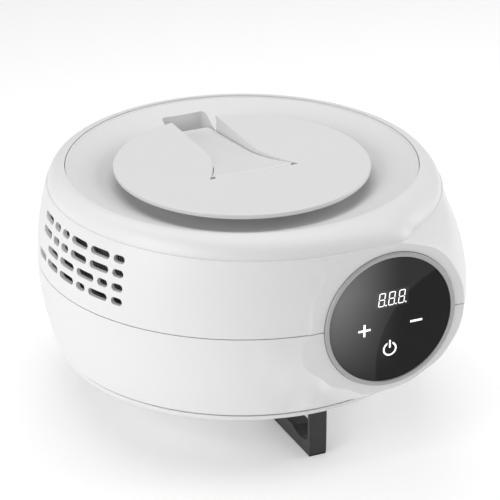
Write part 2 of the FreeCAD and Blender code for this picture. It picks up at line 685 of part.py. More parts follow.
def make_blower():
    half = BLOWER_SIZE / 2
    scroll = cylinder(half, BLOWER_Z, BLOWER_TOP, BLOWER_X, BLOWER_Y)
    nozzle = box(BLOWER_X, OUTLET_X, OUTLET_Y0, OUTLET_Y1, BLOWER_Z, BLOWER_TOP)
    plate = box(BLOWER_X - half, BLOWER_X + half, BLOWER_Y - half, BLOWER_Y + half, BLOWER_Z, BLOWER_Z + 2.0)
    inside = cylinder(half - BLOWER_WALL, BLOWER_Z + 2.0, BLOWER_TOP - BLOWER_WALL, BLOWER_X, BLOWER_Y)
    throat = box(BLOWER_X, OUTLET_X + 1, OUTLET_Y0 + BLOWER_WALL, OUTLET_Y1 - BLOWER_WALL,
                 BLOWER_Z + 2.0, BLOWER_TOP - BLOWER_WALL)
    inlet = cylinder(WHEEL_R - 4.0, BLOWER_TOP - 3, BLOWER_TOP + 1, BLOWER_X, BLOWER_Y)
    case = union([scroll, nozzle, plate]).cut(inside).cut(throat).cut(inlet)
    holes = [cylinder(1.25 + HOLE_PLAY, 0, 10, x, y) for x, y in blower_corners()]
    return case.cut(Part.makeCompound(holes))


def make_motor():
    base = cylinder(8.0, BLOWER_Z + 2.0, BLOWER_Z + 4.6, BLOWER_X, BLOWER_Y)
    shaft = cylinder(1.5, BLOWER_Z + 4.0, BLOWER_TOP - 2.6, BLOWER_X, BLOWER_Y)
    return base.fuse(shaft)


def make_wheel():
    z0, z1 = BLOWER_Z + 2.6, BLOWER_TOP - BLOWER_WALL - 0.6
    hub = ring(10.0, 8.6, z0, z1 - 1.2, BLOWER_X, BLOWER_Y)
    crown = cylinder(10.0, z1 - 2.4, z1 - 0.4, BLOWER_X, BLOWER_Y).cut(
        cylinder(1.5 + HOLE_PLAY, 0, 40, BLOWER_X, BLOWER_Y))
    web = ring(WHEEL_R, 9.0, z0, z0 + 1.0, BLOWER_X, BLOWER_Y)
    blade = box(-0.4, 0.4, -WHEEL_R, -WHEEL_R + 6.0, z0, z1)
    blades = []
    for i in range(WHEEL_BLADES):
        one = at_azimuth(blade, 360.0 * i / WHEEL_BLADES)
        one.translate(V(BLOWER_X, BLOWER_Y, 0))
        blades.append(one)
    band = ring(WHEEL_R, WHEEL_R - 1.0, z1 - 1.0, z1, BLOWER_X, BLOWER_Y)
    return union([hub, crown, web, band] + blades)


def make_blower_screws():
    one = screw(1.25, 4.5, 2.3, 1.4)
    return Part.makeCompound([placed(one, V(x, y, BLOWER_Z + 2.0), V(0, 0, -1)) for x, y in blower_corners()])


HEATER_X0 = OUTLET_X + 0.3
HEATER_X1 = HEATER_X0 + HEATER_LENGTH


def make_heater():
    frame = box(HEATER_X0, HEATER_X1, OUTLET_Y0, OUTLET_Y1, FLOOR, BLOWER_TOP)
    frame = frame.cut(box(HEATER_X0 - 1, HEATER_X1 + 1, OUTLET_Y0 + BLOWER_WALL, OUTLET_Y1 - BLOWER_WALL,
                          FLOOR + 2.0, BLOWER_TOP - BLOWER_WALL))
    block = box(HEATER_X0 + 2.5, HEATER_X1 - 2.5, OUTLET_Y0 + BLOWER_WALL + 0.1, OUTLET_Y1 - BLOWER_WALL - 0.1,
                FLOOR + 2.1, BLOWER_TOP - BLOWER_WALL - 0.1)
    pitch = (OUTLET_Y1 - OUTLET_Y0 - 2 * BLOWER_WALL) / HEATER_FINS
    gaps = []
    for i in range(HEATER_FINS):
        y = OUTLET_Y0 + BLOWER_WALL + pitch * (i + 0.3)
        gaps.append(box(HEATER_X0, HEATER_X1, y, y + pitch * 0.5, FLOOR + 3.4, BLOWER_TOP - BLOWER_WALL - 1.4))
    return frame, block.cut(Part.makeCompound(gaps))


def make_fuse():
    middle = (OUTLET_Y0 + OUTLET_Y1) / 2
    radius = 1.2
    z = BLOWER_TOP + radius + 0.05
    body = along_y(radius, middle - 6, middle + 6, HEATER_X0 + 8, z)
    leads = along_y(0.4, middle - 11, middle + 11, HEATER_X0 + 8, z)
    return body.fuse(leads)


def make_temperature_sensor():
    middle = (OUTLET_Y0 + OUTLET_Y1) / 2
    bead = Part.makeSphere(1.6, V(HEATER_X1 + 3.0, middle, 12.0))
    stem = cylinder(0.9, FLOOR, 11.5, HEATER_X1 + 3.0, middle)
    foot = box(HEATER_X1 + 0.5, HEATER_X1 + 5.5, middle - 3, middle + 3, FLOOR, FLOOR + 1.5)
    return union([bead, stem, foot])


def make_humidity_sensor():
    board = box(-7, 7, -LINER_OUT - 2.6, -LINER_OUT - 1.4, SENSOR_Z - 6, SENSOR_Z + 6)
    cell = box(-2, 2, -LINER_OUT - 1.4, -LINER_OUT + 0.6, SENSOR_Z - 2, SENSOR_Z + 2)
    return at_azimuth(board.fuse(cell), SENSOR_AZIMUTH)


SCREEN_R = DRUM_R - 11.4
SCREEN_LOW, SCREEN_HIGH = WAIST_Z + 6.0, CREST_Z - 4.0
SCREEN_FROM, SCREEN_TO = -108.0, -54.0


def make_dust_screen():
    sheet = sector(SCREEN_R + 0.8, SCREEN_R, SCREEN_LOW, SCREEN_HIGH, SCREEN_FROM, SCREEN_TO)
    cuts = []
    count = 26
    for i in range(count):
        azimuth = SCREEN_FROM + 3 + (SCREEN_TO - SCREEN_FROM - 6) * i / (count - 1)
        cuts.append(at_azimuth(box(-0.6, 0.6, -SCREEN_R - 3, -SCREEN_R + 3,
                               SCREEN_LOW + 3, SCREEN_HIGH - 3), azimuth))
    return sheet.cut(Part.makeCompound(cuts))


# ---------------------------------------------------------------- electrics
def make_power_board():
    board = box(BOARD_X0, BOARD_X1, BOARD_Y0, BOARD_Y1, BOARD_Z, BOARD_Z + BOARD_THICK)
    holes = [cylinder(1.25 + HOLE_PLAY, 0, 20, x, y)
             for x, y in board_corners(BOARD_X0, BOARD_X1, BOARD_Y0, BOARD_Y1, BOARD_HOLE_INSET)]
    return board.cut(Part.makeCompound(holes))


def make_power_parts():
    z = BOARD_Z + BOARD_THICK
    return Part.makeCompound([
        box(BOARD_X0 + 2, BOARD_X0 + 17, BOARD_Y0 + 9, BOARD_Y0 + 23, z, z + 8.5),
        box(BOARD_X0 + 32, BOARD_X0 + 42, BOARD_Y0 + 9, BOARD_Y0 + 22, z, z + 8.0),
        cylinder(4.0, z, z + 8.4, BOARD_X0 + 22, BOARD_Y0 + 27),
        cylinder(4.0, z, z + 8.4, BOARD_X0 + 32, BOARD_Y0 + 27),
        box(BOARD_X0 + 20, BOARD_X0 + 29, BOARD_Y0 + 2, BOARD_Y0 + 7, z, z + 6.0),
        ring(4.5, 2.0, z, z + 4.0, BOARD_X0 + 24.5, BOARD_Y0 + 15)])


def make_inlet():
    inner_end = BASE_R - 1.7
    outer_end = drum_radius(INLET_Z) - 0.4
    body = box(-5.5, 5.5, inner_end - 11.2, inner_end, INLET_Z - 5.5, INLET_Z + 5.5)
    barrel = along_y(INLET_R, inner_end - 0.2, outer_end, 0, INLET_Z)
    socket = along_y(2.8, inner_end - 6.2, outer_end + 5, 0, INLET_Z)
    pin = along_y(1.0, inner_end - 7.2, outer_end - 1.6, 0, INLET_Z)
    return union([body.fuse(barrel).cut(socket), pin])


HARNESS_R = 1.6
HARNESS_Z, HARNESS_LOW, HARNESS_HIGH = 22.0, 12.2, 44.0
HARNESS_FROM, HARNESS_TO = 33.0, 157.0


def make_harness():
    """Wires along the gap between liner and shell, from the power board to the panel."""
    radius = LINER_OUT + 4.2
    sweep = HARNESS_TO - HARNESS_FROM
    arc = Part.makeTorus(radius, HARNESS_R, V(0, 0, HARNESS_Z), Z_AXIS, -180, 180, sweep)
    arc = at_azimuth(arc, HARNESS_FROM - 90)
    pieces = [arc]
    for azimuth, z in ((HARNESS_TO, HARNESS_LOW), (HARNESS_FROM, HARNESS_HIGH)):
        corner = polar(radius, azimuth, HARNESS_Z)
        pieces.append(Part.makeSphere(HARNESS_R, corner))
        pieces.append(cylinder(HARNESS_R, min(z, HARNESS_Z), max(z, HARNESS_Z), corner.x, corner.y))
    rear = polar(radius, HARNESS_TO, HARNESS_LOW)
    pieces.append(Part.makeSphere(HARNESS_R, rear))
    inward = at_azimuth(along_y(HARNESS_R, -radius, -radius + 11.0, 0, HARNESS_LOW), HARNESS_TO)
    pieces.append(inward)
    return union(pieces)


# ---------------------------------------------------------------- control panel
FLANGE_Y0 = PAD_Y + WALL + 0.1
SEAT_Y0 = GLASS_BACK
BEZEL_IN = GLASS_R + FIT
TOUCH_Y = PAD_Y + 7.0
SPACER = 4.4
CONTROL_Y = TOUCH_Y + BOARD_THICK + SPACER
LUG_R = 36.0
LUG_ANGLES = (45, 135, 225, 315)
CONTROL_HALF = 29.0


def panel_point(radius, angle, y):
    a = math.radians(angle)
    return V(PANEL_X + radius * math.cos(a), y, PANEL_Z + radius * math.sin(a))


def make_bezel():
    front = panel_ring(BEZEL_R, BEZEL_IN, PAD_Y - BEZEL_PROUD, PAD_Y)
    rims = [edge for edge in front.Edges if abs(edge.BoundBox.YMin - (PAD_Y - BEZEL_PROUD)) < 1e-6
            and edge.BoundBox.YLength < 1e-6]
    front = front.makeFillet(0.7, rims)
    tube = panel_ring(BEZEL_R, BEZEL_IN, PAD_Y, TOUCH_Y)
    seat = panel_ring(BEZEL_IN + 0.1, BEZEL_IN - 2.4, SEAT_Y0, SEAT_Y0 + 1.5)
    flange = panel_ring(BEZEL_FLANGE_R, BEZEL_IN, FLANGE_Y0, FLANGE_Y0 + 1.5)
    lugs = []
    for angle in LUG_ANGLES:
        lug = box(LUG_R - 3.0, BEZEL_IN + 0.5, SEAT_Y0 + 1.5, TOUCH_Y, -4.0, 4.0)
        lug.rotate(V(0, 0, 0), Y_AXIS, -angle)
        lug.translate(V(PANEL_X, 0, PANEL_Z))
        lugs.append(lug)
    bezel = union([front, tube, seat, flange] + lugs)
    for angle in LUG_ANGLES:
        point = panel_point(LUG_R, angle, 0)
        bezel = bezel.cut(along_y(1.0 + HOLE_PLAY, SEAT_Y0 + 2.0, TOUCH_Y + 1, point.x, point.z))
    return bezel


DIGIT_HEIGHT = 8.6
DIGIT_WIDTH = 4.1
DIGIT_PITCH = 6.4
DIGIT_RISE = 13.5
DIGIT_STROKE = 0.55
DIGIT_SLANT = 0.10
KEY_REACH = 16.8
KEY_DROP = -4.0
KEY_SPAN = 7.8
KEY_STROKE = 1.3
POWER_DROP = -19.0
POWER_R = 4.4
MARK_DEPTH = 0.25


def seven_segments(centre_u, centre_v):
    """One seven-segment figure and its point, as flat prisms across the panel."""
    half_w, half_h = DIGIT_WIDTH / 2, DIGIT_HEIGHT / 2
    gap, stroke = 0.35, DIGIT_STROKE

    def slab(u0, u1, v0, v1):
        corners = [(u0, v0), (u1, v0), (u1, v1), (u0, v1)]
        points = [V(PANEL_X + centre_u + u + DIGIT_SLANT * v, GLASS_FRONT, PANEL_Z + centre_v + v) for u, v in corners]
        return Part.Face(Part.makePolygon(points + points[:1])).extrude(V(0, MARK_DEPTH, 0))

    segments = [slab(-half_w + gap + stroke / 2, half_w - gap - stroke / 2, v - stroke / 2, v + stroke / 2)
                for v in (-half_h + stroke / 2, 0.0, half_h - stroke / 2)]
    for u in (-half_w, half_w - stroke):
        segments.append(slab(u, u + stroke, gap, half_h - gap))
        segments.append(slab(u, u + stroke, -half_h + gap, -gap))
    segments.append(slab(half_w + 0.6, half_w + 1.4, -half_h, -half_h + 0.8))
    return segments


def make_marks():
    y0, y1 = GLASS_FRONT, GLASS_FRONT + MARK_DEPTH
    marks = []
    for i in (-1, 0, 1):
        marks += seven_segments(DIGIT_PITCH * i + 0.5, DIGIT_RISE)

    def bar(u, v, width, height):
        return box(PANEL_X + u - width / 2, PANEL_X + u + width / 2, y0, y1,
                   PANEL_Z + v - height / 2, PANEL_Z + v + height / 2)

    marks.append(bar(-KEY_REACH, KEY_DROP, KEY_SPAN, KEY_STROKE).fuse(
        bar(-KEY_REACH, KEY_DROP, KEY_STROKE, KEY_SPAN)).removeSplitter())
    marks.append(bar(KEY_REACH, KEY_DROP, KEY_SPAN, KEY_STROKE))
    arc = along_y(POWER_R, y0, y1, PANEL_X, PANEL_Z + POWER_DROP).cut(
        along_y(POWER_R - 1.0, y0 - 1, y1 + 1, PANEL_X, PANEL_Z + POWER_DROP))
    gap = bar(0, POWER_DROP + POWER_R, 3.4, POWER_R)
    marks.append(arc.cut(gap))
    marks.append(bar(0, POWER_DROP + 3.2, 1.1, 5.0))
    return Part.makeCompound(marks)


def make_glass(marks):
    glass = along_y(GLASS_R, GLASS_FRONT, GLASS_BACK, PANEL_X, PANEL_Z)
    return glass.cut(marks)


def make_display():
    body = box(PANEL_X - DISPLAY_W / 2, PANEL_X + DISPLAY_W / 2, GLASS_BACK + 0.1, TOUCH_Y,
               PANEL_Z + DIGIT_RISE - DISPLAY_H / 2, PANEL_Z + DIGIT_RISE + DISPLAY_H / 2)
    return body


def make_touch_contacts():
    places = ((-KEY_REACH, KEY_DROP), (KEY_REACH, KEY_DROP), (0.0, POWER_DROP))
    contacts = []
    for u, v in places:
        outer = along_y(3.8, GLASS_BACK + 0.05, TOUCH_Y, PANEL_X + u, PANEL_Z + v)
        contacts.append(outer.cut(along_y(3.0, GLASS_BACK - 1, TOUCH_Y + 1, PANEL_X + u, PANEL_Z + v)))
    return Part.makeCompound(contacts)


def panel_screw_holes(y0, y1):
    points = [panel_point(LUG_R, angle, 0) for angle in LUG_ANGLES]
    return Part.makeCompound([along_y(1.0 + HOLE_PLAY, y0, y1, point.x, point.z) for point in points])


def make_touch_board():
    board = along_y(BEZEL_IN - 0.3, TOUCH_Y, TOUCH_Y + BOARD_THICK, PANEL_X, PANEL_Z)
    return board.cut(panel_screw_holes(TOUCH_Y - 1, TOUCH_Y + 5))


def make_spacers():
    y0, y1 = TOUCH_Y + BOARD_THICK, CONTROL_Y
    spacers = []
    for angle in LUG_ANGLES:
        point = panel_point(LUG_R, angle, 0)
        spacers.append(along_y(2.2, y0, y1, point.x, point.z).cut(
            along_y(1.0 + HOLE_PLAY, y0 - 1, y1 + 1, point.x, point.z)))
    return Part.makeCompound(spacers)


def make_control_board():
    board = box(PANEL_X - CONTROL_HALF, PANEL_X + CONTROL_HALF, CONTROL_Y, CONTROL_Y + BOARD_THICK,
                PANEL_Z - CONTROL_HALF, PANEL_Z + CONTROL_HALF)
    return board.cut(panel_screw_holes(CONTROL_Y - 1, CONTROL_Y + 5))


def make_control_parts():
    y = CONTROL_Y + BOARD_THICK
    return Part.makeCompound([
        box(PANEL_X - 4, PANEL_X + 6, y, y + 1.6, PANEL_Z - 5, PANEL_Z + 5),
        box(PANEL_X + 10, PANEL_X + 22, y, y + 5.0, PANEL_Z - 18, PANEL_Z - 6),
        box(PANEL_X - 10, PANEL_X + 8, y, y + 3.4, PANEL_Z - 27, PANEL_Z - 22),
        along_y(3.2, y, y + 6.0, PANEL_X + 18, PANEL_Z + 14)])


def make_panel_screws():
    length = CONTROL_Y + BOARD_THICK - SEAT_Y0 - 2.6
    one = screw(1.0, length, 1.9, 1.3)
    return Part.makeCompound([placed(one, panel_point(LUG_R, angle, CONTROL_Y + BOARD_THICK), V(0, -1, 0))
                              for angle in LUG_ANGLES])


# ---------------------------------------------------------------- other fasteners
def make_shell_screws():
    one = screw(1.5, 24.0, 2.9, 2.2)
    return Part.makeCompound([placed(one, polar(SHELL_POST_R, azimuth, SHELL_HEAD_Z)) for azimuth in SHELL_SCREWS])


def make_base_screws():
    one = screw(1.5, 12.0, 2.9, 1.7)
    return Part.makeCompound([placed(one, polar(BASE_POST_R, azimuth, 1.9)) for azimuth in BASE_SCREWS])


def make_board_screws():
    one = screw(1.25, 5.5, 2.3, 1.4)
    points = board_corners(BOARD_X0, BOARD_X1, BOARD_Y0, BOARD_Y1, BOARD_HOLE_INSET)
    return Part.makeCompound([placed(one, V(x, y, BOARD_Z + BOARD_THICK), V(0, 0, -1)) for x, y in points])


def make_bush():
    outer_end = drum_radius(BUSH_Z)
    body = along_y(BUSH_R, -outer_end - 4.0, -LINER_IN + 0.4, 0, BUSH_Z)
    flange = along_y(BUSH_R + 2.5, -outer_end - 2.6, -outer_end - 0.8, 0, BUSH_Z)
    bore = along_y(2.05, -outer_end - 10, -LINER_IN + 10, 0, BUSH_Z)
    return at_azimuth(body.fuse(flange).cut(bore), BUSH_AZIMUTH)


# ---------------------------------------------------------------- lid
RIM_TOP = RIDGE_Z - 0.9
RIM_UNDER = RIM_TOP - RIM_THICK
LINER_PLATE_TOP = DISH_FLOOR_Z - DISH_WALL - 2.7
LINER_PLATE_THICK = 1.5
LID_SCREW_R = 80.0
KNOB_POSTS = ((-36, -32), (36, -32), (-36, 36), (36, 36))


def dish_section(lift):
    """Floor, arc and cone of the dish's upper or lower face, as edges in the XZ plane."""
    slope = math.radians(DISH_SLOPE)
    radius = DISH_ARC_R - lift
    z = DISH_FLOOR_Z + lift
    centre = V(DISH_FLAT_R, 0, DISH_FLOOR_Z + DISH_ARC_R)
    start = V(DISH_FLAT_R, 0, z)
    middle = centre + V(radius * math.sin(slope / 2), 0, -radius * math.cos(slope / 2))
    end = centre + V(radius * math.sin(slope), 0, -radius * math.cos(slope))
    return start, middle, end, math.tan(slope)


def make_dish():
    top_start, top_mid, top_end, slope = dish_section(0.0)
    low_start, low_mid, low_end, _ = dish_section(-DISH_WALL)
    cone_r = LID_R - 1.8
    cone_top = V(cone_r, 0, top_end.z + slope * (cone_r - top_end.x))
    skirt_out = LINER_IN - 0.7
    skirt_in = skirt_out - 2.0
    cone_low = V(skirt_in, 0, low_end.z + slope * (skirt_in - low_end.x))
    skirt_low = RIM_UNDER - 8.0
    edges = [Part.LineSegment(V(0, 0, DISH_FLOOR_Z), top_start).toShape(),
             Part.Arc(top_start, top_mid, top_end).toShape(),
             Part.LineSegment(top_end, cone_top).toShape()]
    corners = [cone_top, V(cone_r, 0, RIM_TOP), V(LID_R, 0, RIM_TOP), V(LID_R, 0, RIM_UNDER),
               V(skirt_out, 0, RIM_UNDER), V(skirt_out, 0, skirt_low), V(skirt_in, 0, skirt_low), cone_low, low_end]
    edges += [Part.LineSegment(a, b).toShape() for a, b in zip(corners, corners[1:])]
    edges += [Part.Arc(low_end, low_mid, low_start).toShape(),
              Part.LineSegment(low_start, V(0, 0, low_start.z)).toShape(),
              Part.LineSegment(V(0, 0, low_start.z), V(0, 0, DISH_FLOOR_Z)).toShape()]
    dish = Part.Face(Part.Wire(edges)).revolve(V(0, 0, 0), Z_AXIS, 360)
    above = dish_space()

    half = TAB_HALF + 0.5
    tray = box(TAB_X - half - 2, TAB_X + half + 2, DISH_FLAT_R - 4, POCKET_END_Y + 2,
               POCKET_FLOOR_Z - 2, RIDGE_Z).cut(above)
    hollow = box(TAB_X - half, TAB_X + half, DISH_FLAT_R - 2, POCKET_END_Y, POCKET_FLOOR_Z, RIDGE_Z + 5)
    corners = [edge for edge in hollow.Edges if edge.BoundBox.ZLength > 5 and edge.BoundBox.YMin > DISH_FLAT_R]
    hollow = hollow.makeFillet(3.0, corners)
    rest = box(TAB_X - 6, TAB_X + 6, DISH_FLAT_R - 6, DISH_FLAT_R - 3, DISH_FLOOR_Z - 0.5,
               tab_under(DISH_FLAT_R - 3) - SEAL_PLAY)
    bosses = []
    holes = []
    for i in range(4):
        point = polar(LID_SCREW_R, 45 + 90 * i, 0)
        bosses.append(cylinder(3.6, LINER_PLATE_TOP, LINER_PLATE_TOP + 6.6, point.x, point.y))
        holes.append(cylinder(1.25 + HOLE_PLAY, LINER_PLATE_TOP - 1, LINER_PLATE_TOP + 4.2, point.x, point.y))
    for x, y in KNOB_POSTS:
        holes.append(cylinder(1.5 + HOLE_PLAY, LINER_PLATE_TOP - 1, DISH_FLOOR_Z + 1, x, y))
    return union([dish, tray, rest] + bosses).cut(hollow).cut(Part.makeCompound(holes))


def dish_space():
    """The space above the dish's upper face."""
    start, middle, end, slope = dish_section(0.0)
    far = DRUM_R
    high = RIDGE_Z + 45
    far_point = V(far, 0, end.z + slope * (far - end.x))
    edges = [Part.LineSegment(V(0, 0, DISH_FLOOR_Z), start).toShape(),
             Part.Arc(start, middle, end).toShape(),
             Part.LineSegment(end, far_point).toShape(),
             Part.LineSegment(far_point, V(far, 0, high)).toShape(),
             Part.LineSegment(V(far, 0, high), V(0, 0, high)).toShape(),
             Part.LineSegment(V(0, 0, high), V(0, 0, DISH_FLOOR_Z)).toShape()]
    return Part.Face(Part.Wire(edges)).revolve(V(0, 0, 0), Z_AXIS, 360)


TAB_AXIS_Y = TAB_FRONT_Y + TAB_BARREL_R
TAB_AXIS_Z = DISC_Z - TAB_BARREL_R
TAB_FALL = (DISC_Z - TAB_END_Z) / (TAB_END_Y - TAB_AXIS_Y)


def tab_under(y):
    return DISC_Z - TAB_THICK - TAB_FALL * (y - TAB_AXIS_Y)


def tab_outline(gap, end_y, z):
    """Outline of the tab, or of its cut-out: flared at the hinge, straight to the rear."""
    flare = TAB_HINGE_HALF - TAB_HALF
    run = TAB_FLARE_END - TAB_FRONT_Y
    flare_r = (flare ** 2 + run ** 2) / (2 * flare)
    half, hinge_half = TAB_HALF + gap, TAB_HINGE_HALF + gap
    mid_y = TAB_FLARE_END - run / 2
    mid = half + flare_r - math.sqrt(flare_r ** 2 - (run / 2) ** 2)
    front = TAB_FRONT_Y - gap
    left = [V(TAB_X - hinge_half, front, z), V(TAB_X - mid, mid_y, z), V(TAB_X - half, TAB_FLARE_END, z)]
    right = [V(TAB_X + hinge_half, front, z), V(TAB_X + mid, mid_y, z), V(TAB_X + half, TAB_FLARE_END, z)]
    rear_left, rear_right = V(TAB_X - half, end_y, z), V(TAB_X + half, end_y, z)
    edges = [Part.LineSegment(left[0], right[0]).toShape(), Part.Arc(*right).toShape(),
             Part.LineSegment(right[2], rear_right).toShape(), Part.LineSegment(rear_right, rear_left).toShape(),
             Part.LineSegment(rear_left, left[2]).toShape(), Part.Arc(left[2], left[1], left[0]).toShape()]
    return Part.Wire(edges)


def prism(wire, height):
    return Part.Face(wire).extrude(V(0, 0, height))


def make_knob():
    """The raised disc with its cut-out, carried on a ring and four posts above the dish."""
    under = DISC_Z - DISC_THICK
    cut = prism(tab_outline(TAB_GAP, DISC_R + 10, DISH_FLOOR_Z - 10), 60)
    disc = cylinder(DISC_R, under, DISC_Z).cut(cut)
    disc = disc.makeFillet(0.9, [edge for edge in disc.Edges
                                 if edge.BoundBox.ZLength < 1e-6 and edge.BoundBox.XLength > DISC_R])
    stem = ring(DISH_FLAT_R - 8, DISH_FLAT_R - 11, DISH_FLOOR_Z, under)
    cheeks = prism(tab_outline(TAB_GAP + 2.4, DISC_R + 10, DISH_FLOOR_Z - 6), under - DISH_FLOOR_Z + 6)
    cheeks = cheeks.common(cylinder(DISC_R - 1.0, DISH_FLOOR_Z - 6, DISC_Z)).common(dish_space())
    cheeks = cheeks.cut(box(-60, 60, TAB_FRONT_Y - 10, TAB_AXIS_Y + TAB_BARREL_R + 3,
                            DISH_FLOOR_Z - 7, DISC_Z))
    posts = [cylinder(4.0, DISH_FLOOR_Z, under, x, y) for x, y in KNOB_POSTS]
    inner, outer = TAB_HINGE_HALF + TAB_GAP + 0.2, TAB_HINGE_HALF + 6.0
    lugs = []
    for side in (-1, 1):
        x0, x1 = sorted((TAB_X + side * inner, TAB_X + side * outer))
        lugs.append(box(x0, x1, TAB_AXIS_Y - 4, TAB_AXIS_Y + 4, TAB_AXIS_Z - 3.2, under + 0.5))
    knob = union([disc, stem.cut(cut), cheeks.cut(cut)] + posts + lugs)
    pin = along_x(TAB_PIN_R + 0.03, TAB_X - TAB_HINGE_HALF - 4.6, TAB_X + TAB_HINGE_HALF + 4.6, TAB_AXIS_Y, TAB_AXIS_Z)
    holes = [cylinder(1.5 + HOLE_PLAY, DISH_FLOOR_Z - 20, under - 0.2, x, y) for x, y in KNOB_POSTS]
    return knob.cut(pin).cut(Part.makeCompound(holes))


def make_tab():
    y0, y1 = TAB_AXIS_Y, TAB_END_Y
    fall = TAB_FALL * (y1 - y0)
    side = Part.makePolygon([V(-60, y0, DISC_Z), V(-60, y1, DISC_Z - fall), V(-60, y1, DISC_Z - fall - TAB_THICK),
                             V(-60, y0, DISC_Z - TAB_THICK), V(-60, y0, DISC_Z)])
    slab = Part.Face(side).extrude(V(120, 0, 0))
    blade = slab.common(prism(tab_outline(-TAB_GAP / 2, TAB_END_Y, DISC_Z - 24), 40))
    ends = [edge for edge in blade.Edges if edge.BoundBox.YMin > TAB_END_Y - 1 and edge.BoundBox.XLength < 1e-6
            and edge.BoundBox.ZLength > 1]
    blade = blade.makeFillet(2.5, ends)
    barrel = along_x(TAB_BARREL_R, TAB_X - TAB_BARREL_HALF, TAB_X + TAB_BARREL_HALF, TAB_AXIS_Y, TAB_AXIS_Z)
    hole = along_x(TAB_PIN_R + HOLE_PLAY, TAB_X - 60, TAB_X + 60, TAB_AXIS_Y, TAB_AXIS_Z)
    return union([blade, barrel]).cut(hole)


def make_tab_pin():
    reach = TAB_HINGE_HALF + 4.4
    return along_x(TAB_PIN_R, TAB_X - reach, TAB_X + reach, TAB_AXIS_Y, TAB_AXIS_Z)


def make_lid_liner():
    plate = cylinder(LINER_IN - 5.0, LINER_PLATE_TOP - LINER_PLATE_THICK, LINER_PLATE_TOP)
    holes = [cylinder(1.25 + HOLE_PLAY, DISH_FLOOR_Z - 20, DISH_FLOOR_Z, *polar(LID_SCREW_R, 45 + 90 * i, 0)[:2])
             for i in range(4)]
    return plate.cut(Part.makeCompound(holes))


def make_lid_seal():
    return ring(LID_R - 0.4, LINER_IN + 0.6, RIM_UNDER - SEAL_THICK, RIM_UNDER)


def make_lid_screws():
    z = LINER_PLATE_TOP - LINER_PLATE_THICK
    one = screw(1.25, 5.2, 2.4, 1.2)
    return Part.makeCompound([placed(one, polar(LID_SCREW_R, 45 + 90 * i, z)) for i in range(4)])


def make_knob_screws():
    z = DISH_FLOOR_Z - DISH_WALL
    one = screw(1.5, DISC_Z - DISC_THICK - 2.0 - z, 2.6, 1.6)
    return Part.makeCompound([placed(one, V(x, y, z)) for x, y in KNOB_POSTS])


# ---------------------------------------------------------------- all pieces
def build_pieces():
    lower, upper = make_shells()
    inner_race, outer_race, balls = make_bearing()
    frame, block = make_heater()
    marks = make_marks()
    pieces = {
        "base_plate": make_base(), "lower_shell": lower, "upper_shell": upper,
        "chamber_liner": make_liner(), "diffuser_plate": make_diffuser(), "liner_screws": make_liner_screws(),
        "centre_post": make_post(), "post_clip": make_clip(), "bearing_inner": inner_race,
        "blower_case": make_blower(), "blower_motor": make_motor(), "blower_screws": make_blower_screws(),
        "heater_frame": frame, "heater_block": block, "thermal_fuse": make_fuse(),
        "temperature_sensor": make_temperature_sensor(), "humidity_sensor": make_humidity_sensor(),
        "dust_screen": make_dust_screen(),
        "power_board": make_power_board(), "power_parts": make_power_parts(), "power_inlet": make_inlet(),
        "board_screws": make_board_screws(), "harness": make_harness(),
        "bezel_ring": make_bezel(), "panel_glass": make_glass(marks), "panel_marks": marks,
        "display_module": make_display(), "touch_contacts": make_touch_contacts(),
        "touch_board": make_touch_board(), "board_spacers": make_spacers(),
        "control_board": make_control_board(), "control_parts": make_control_parts(),
        "panel_screws": make_panel_screws(), "shell_screws": make_shell_screws(),
        "base_screws": make_base_screws(), "foot_pins": make_foot_pins(), "outlet_bush": make_bush(),
        "turntable": make_turntable(), "spool_hub": make_hub(), "hub_screws": make_hub_screws(),
        "bearing_outer": outer_race, "bearing_balls": balls,
        "blower_wheel": make_wheel(),
        "lid_dish": make_dish(), "lid_knob": make_knob(), "lid_liner": make_lid_liner(),
        "lid_seal": make_lid_seal(), "lid_screws": make_lid_screws(), "knob_screws": make_knob_screws(),
        "tab_pin": make_tab_pin(), "lift_tab": make_tab(),
    }
    foot, pad = make_foot(), make_foot_pad()
    for name, azimuth in zip(("front", "right", "left"), FOOT_AZIMUTHS):
        pieces["foot_" + name] = at_azimuth(foot, azimuth)
        pieces["foot_pad_" + name] = at_azimuth(pad, azimuth)
    return pieces


os.makedirs("parts", exist_ok=True)
for node, shape in build_pieces().items():
    shape.exportStep("parts/%s.step" % node)
    print("%-20s solids %3d  valid %s  volume %9.1f" % (node, len(shape.Solids), shape.isValid(), shape.Volume))
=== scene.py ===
"""Filament dryer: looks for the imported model, laid out as an add-on with one operator for each group of pieces."""

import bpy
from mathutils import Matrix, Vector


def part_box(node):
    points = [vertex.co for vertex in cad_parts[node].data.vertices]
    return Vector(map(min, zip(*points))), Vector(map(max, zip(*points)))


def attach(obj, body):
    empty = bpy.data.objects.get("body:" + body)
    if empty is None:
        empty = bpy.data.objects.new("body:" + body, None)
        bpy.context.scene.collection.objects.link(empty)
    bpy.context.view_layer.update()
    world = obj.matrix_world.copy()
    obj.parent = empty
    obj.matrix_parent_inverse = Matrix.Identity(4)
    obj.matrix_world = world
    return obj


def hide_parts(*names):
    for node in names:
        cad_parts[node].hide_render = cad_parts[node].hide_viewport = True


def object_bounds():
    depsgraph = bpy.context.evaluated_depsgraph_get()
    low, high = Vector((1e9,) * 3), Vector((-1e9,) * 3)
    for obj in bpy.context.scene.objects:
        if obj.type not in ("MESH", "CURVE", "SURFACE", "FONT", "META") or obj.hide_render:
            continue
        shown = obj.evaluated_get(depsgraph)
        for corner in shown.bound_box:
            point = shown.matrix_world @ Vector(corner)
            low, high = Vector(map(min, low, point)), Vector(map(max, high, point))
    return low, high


bl_info = {
    "name": "Filament Dryer Looks",
    "version": (1, 0, 0),
    "blender": (4, 5, 0),
    "location": "3D View > Sidebar > Dryer",
    "description": "Materials, trim and stage for a drum-shaped filament dryer",
    "category": "Object",
}

import math

import bpy
from mathutils import Vector

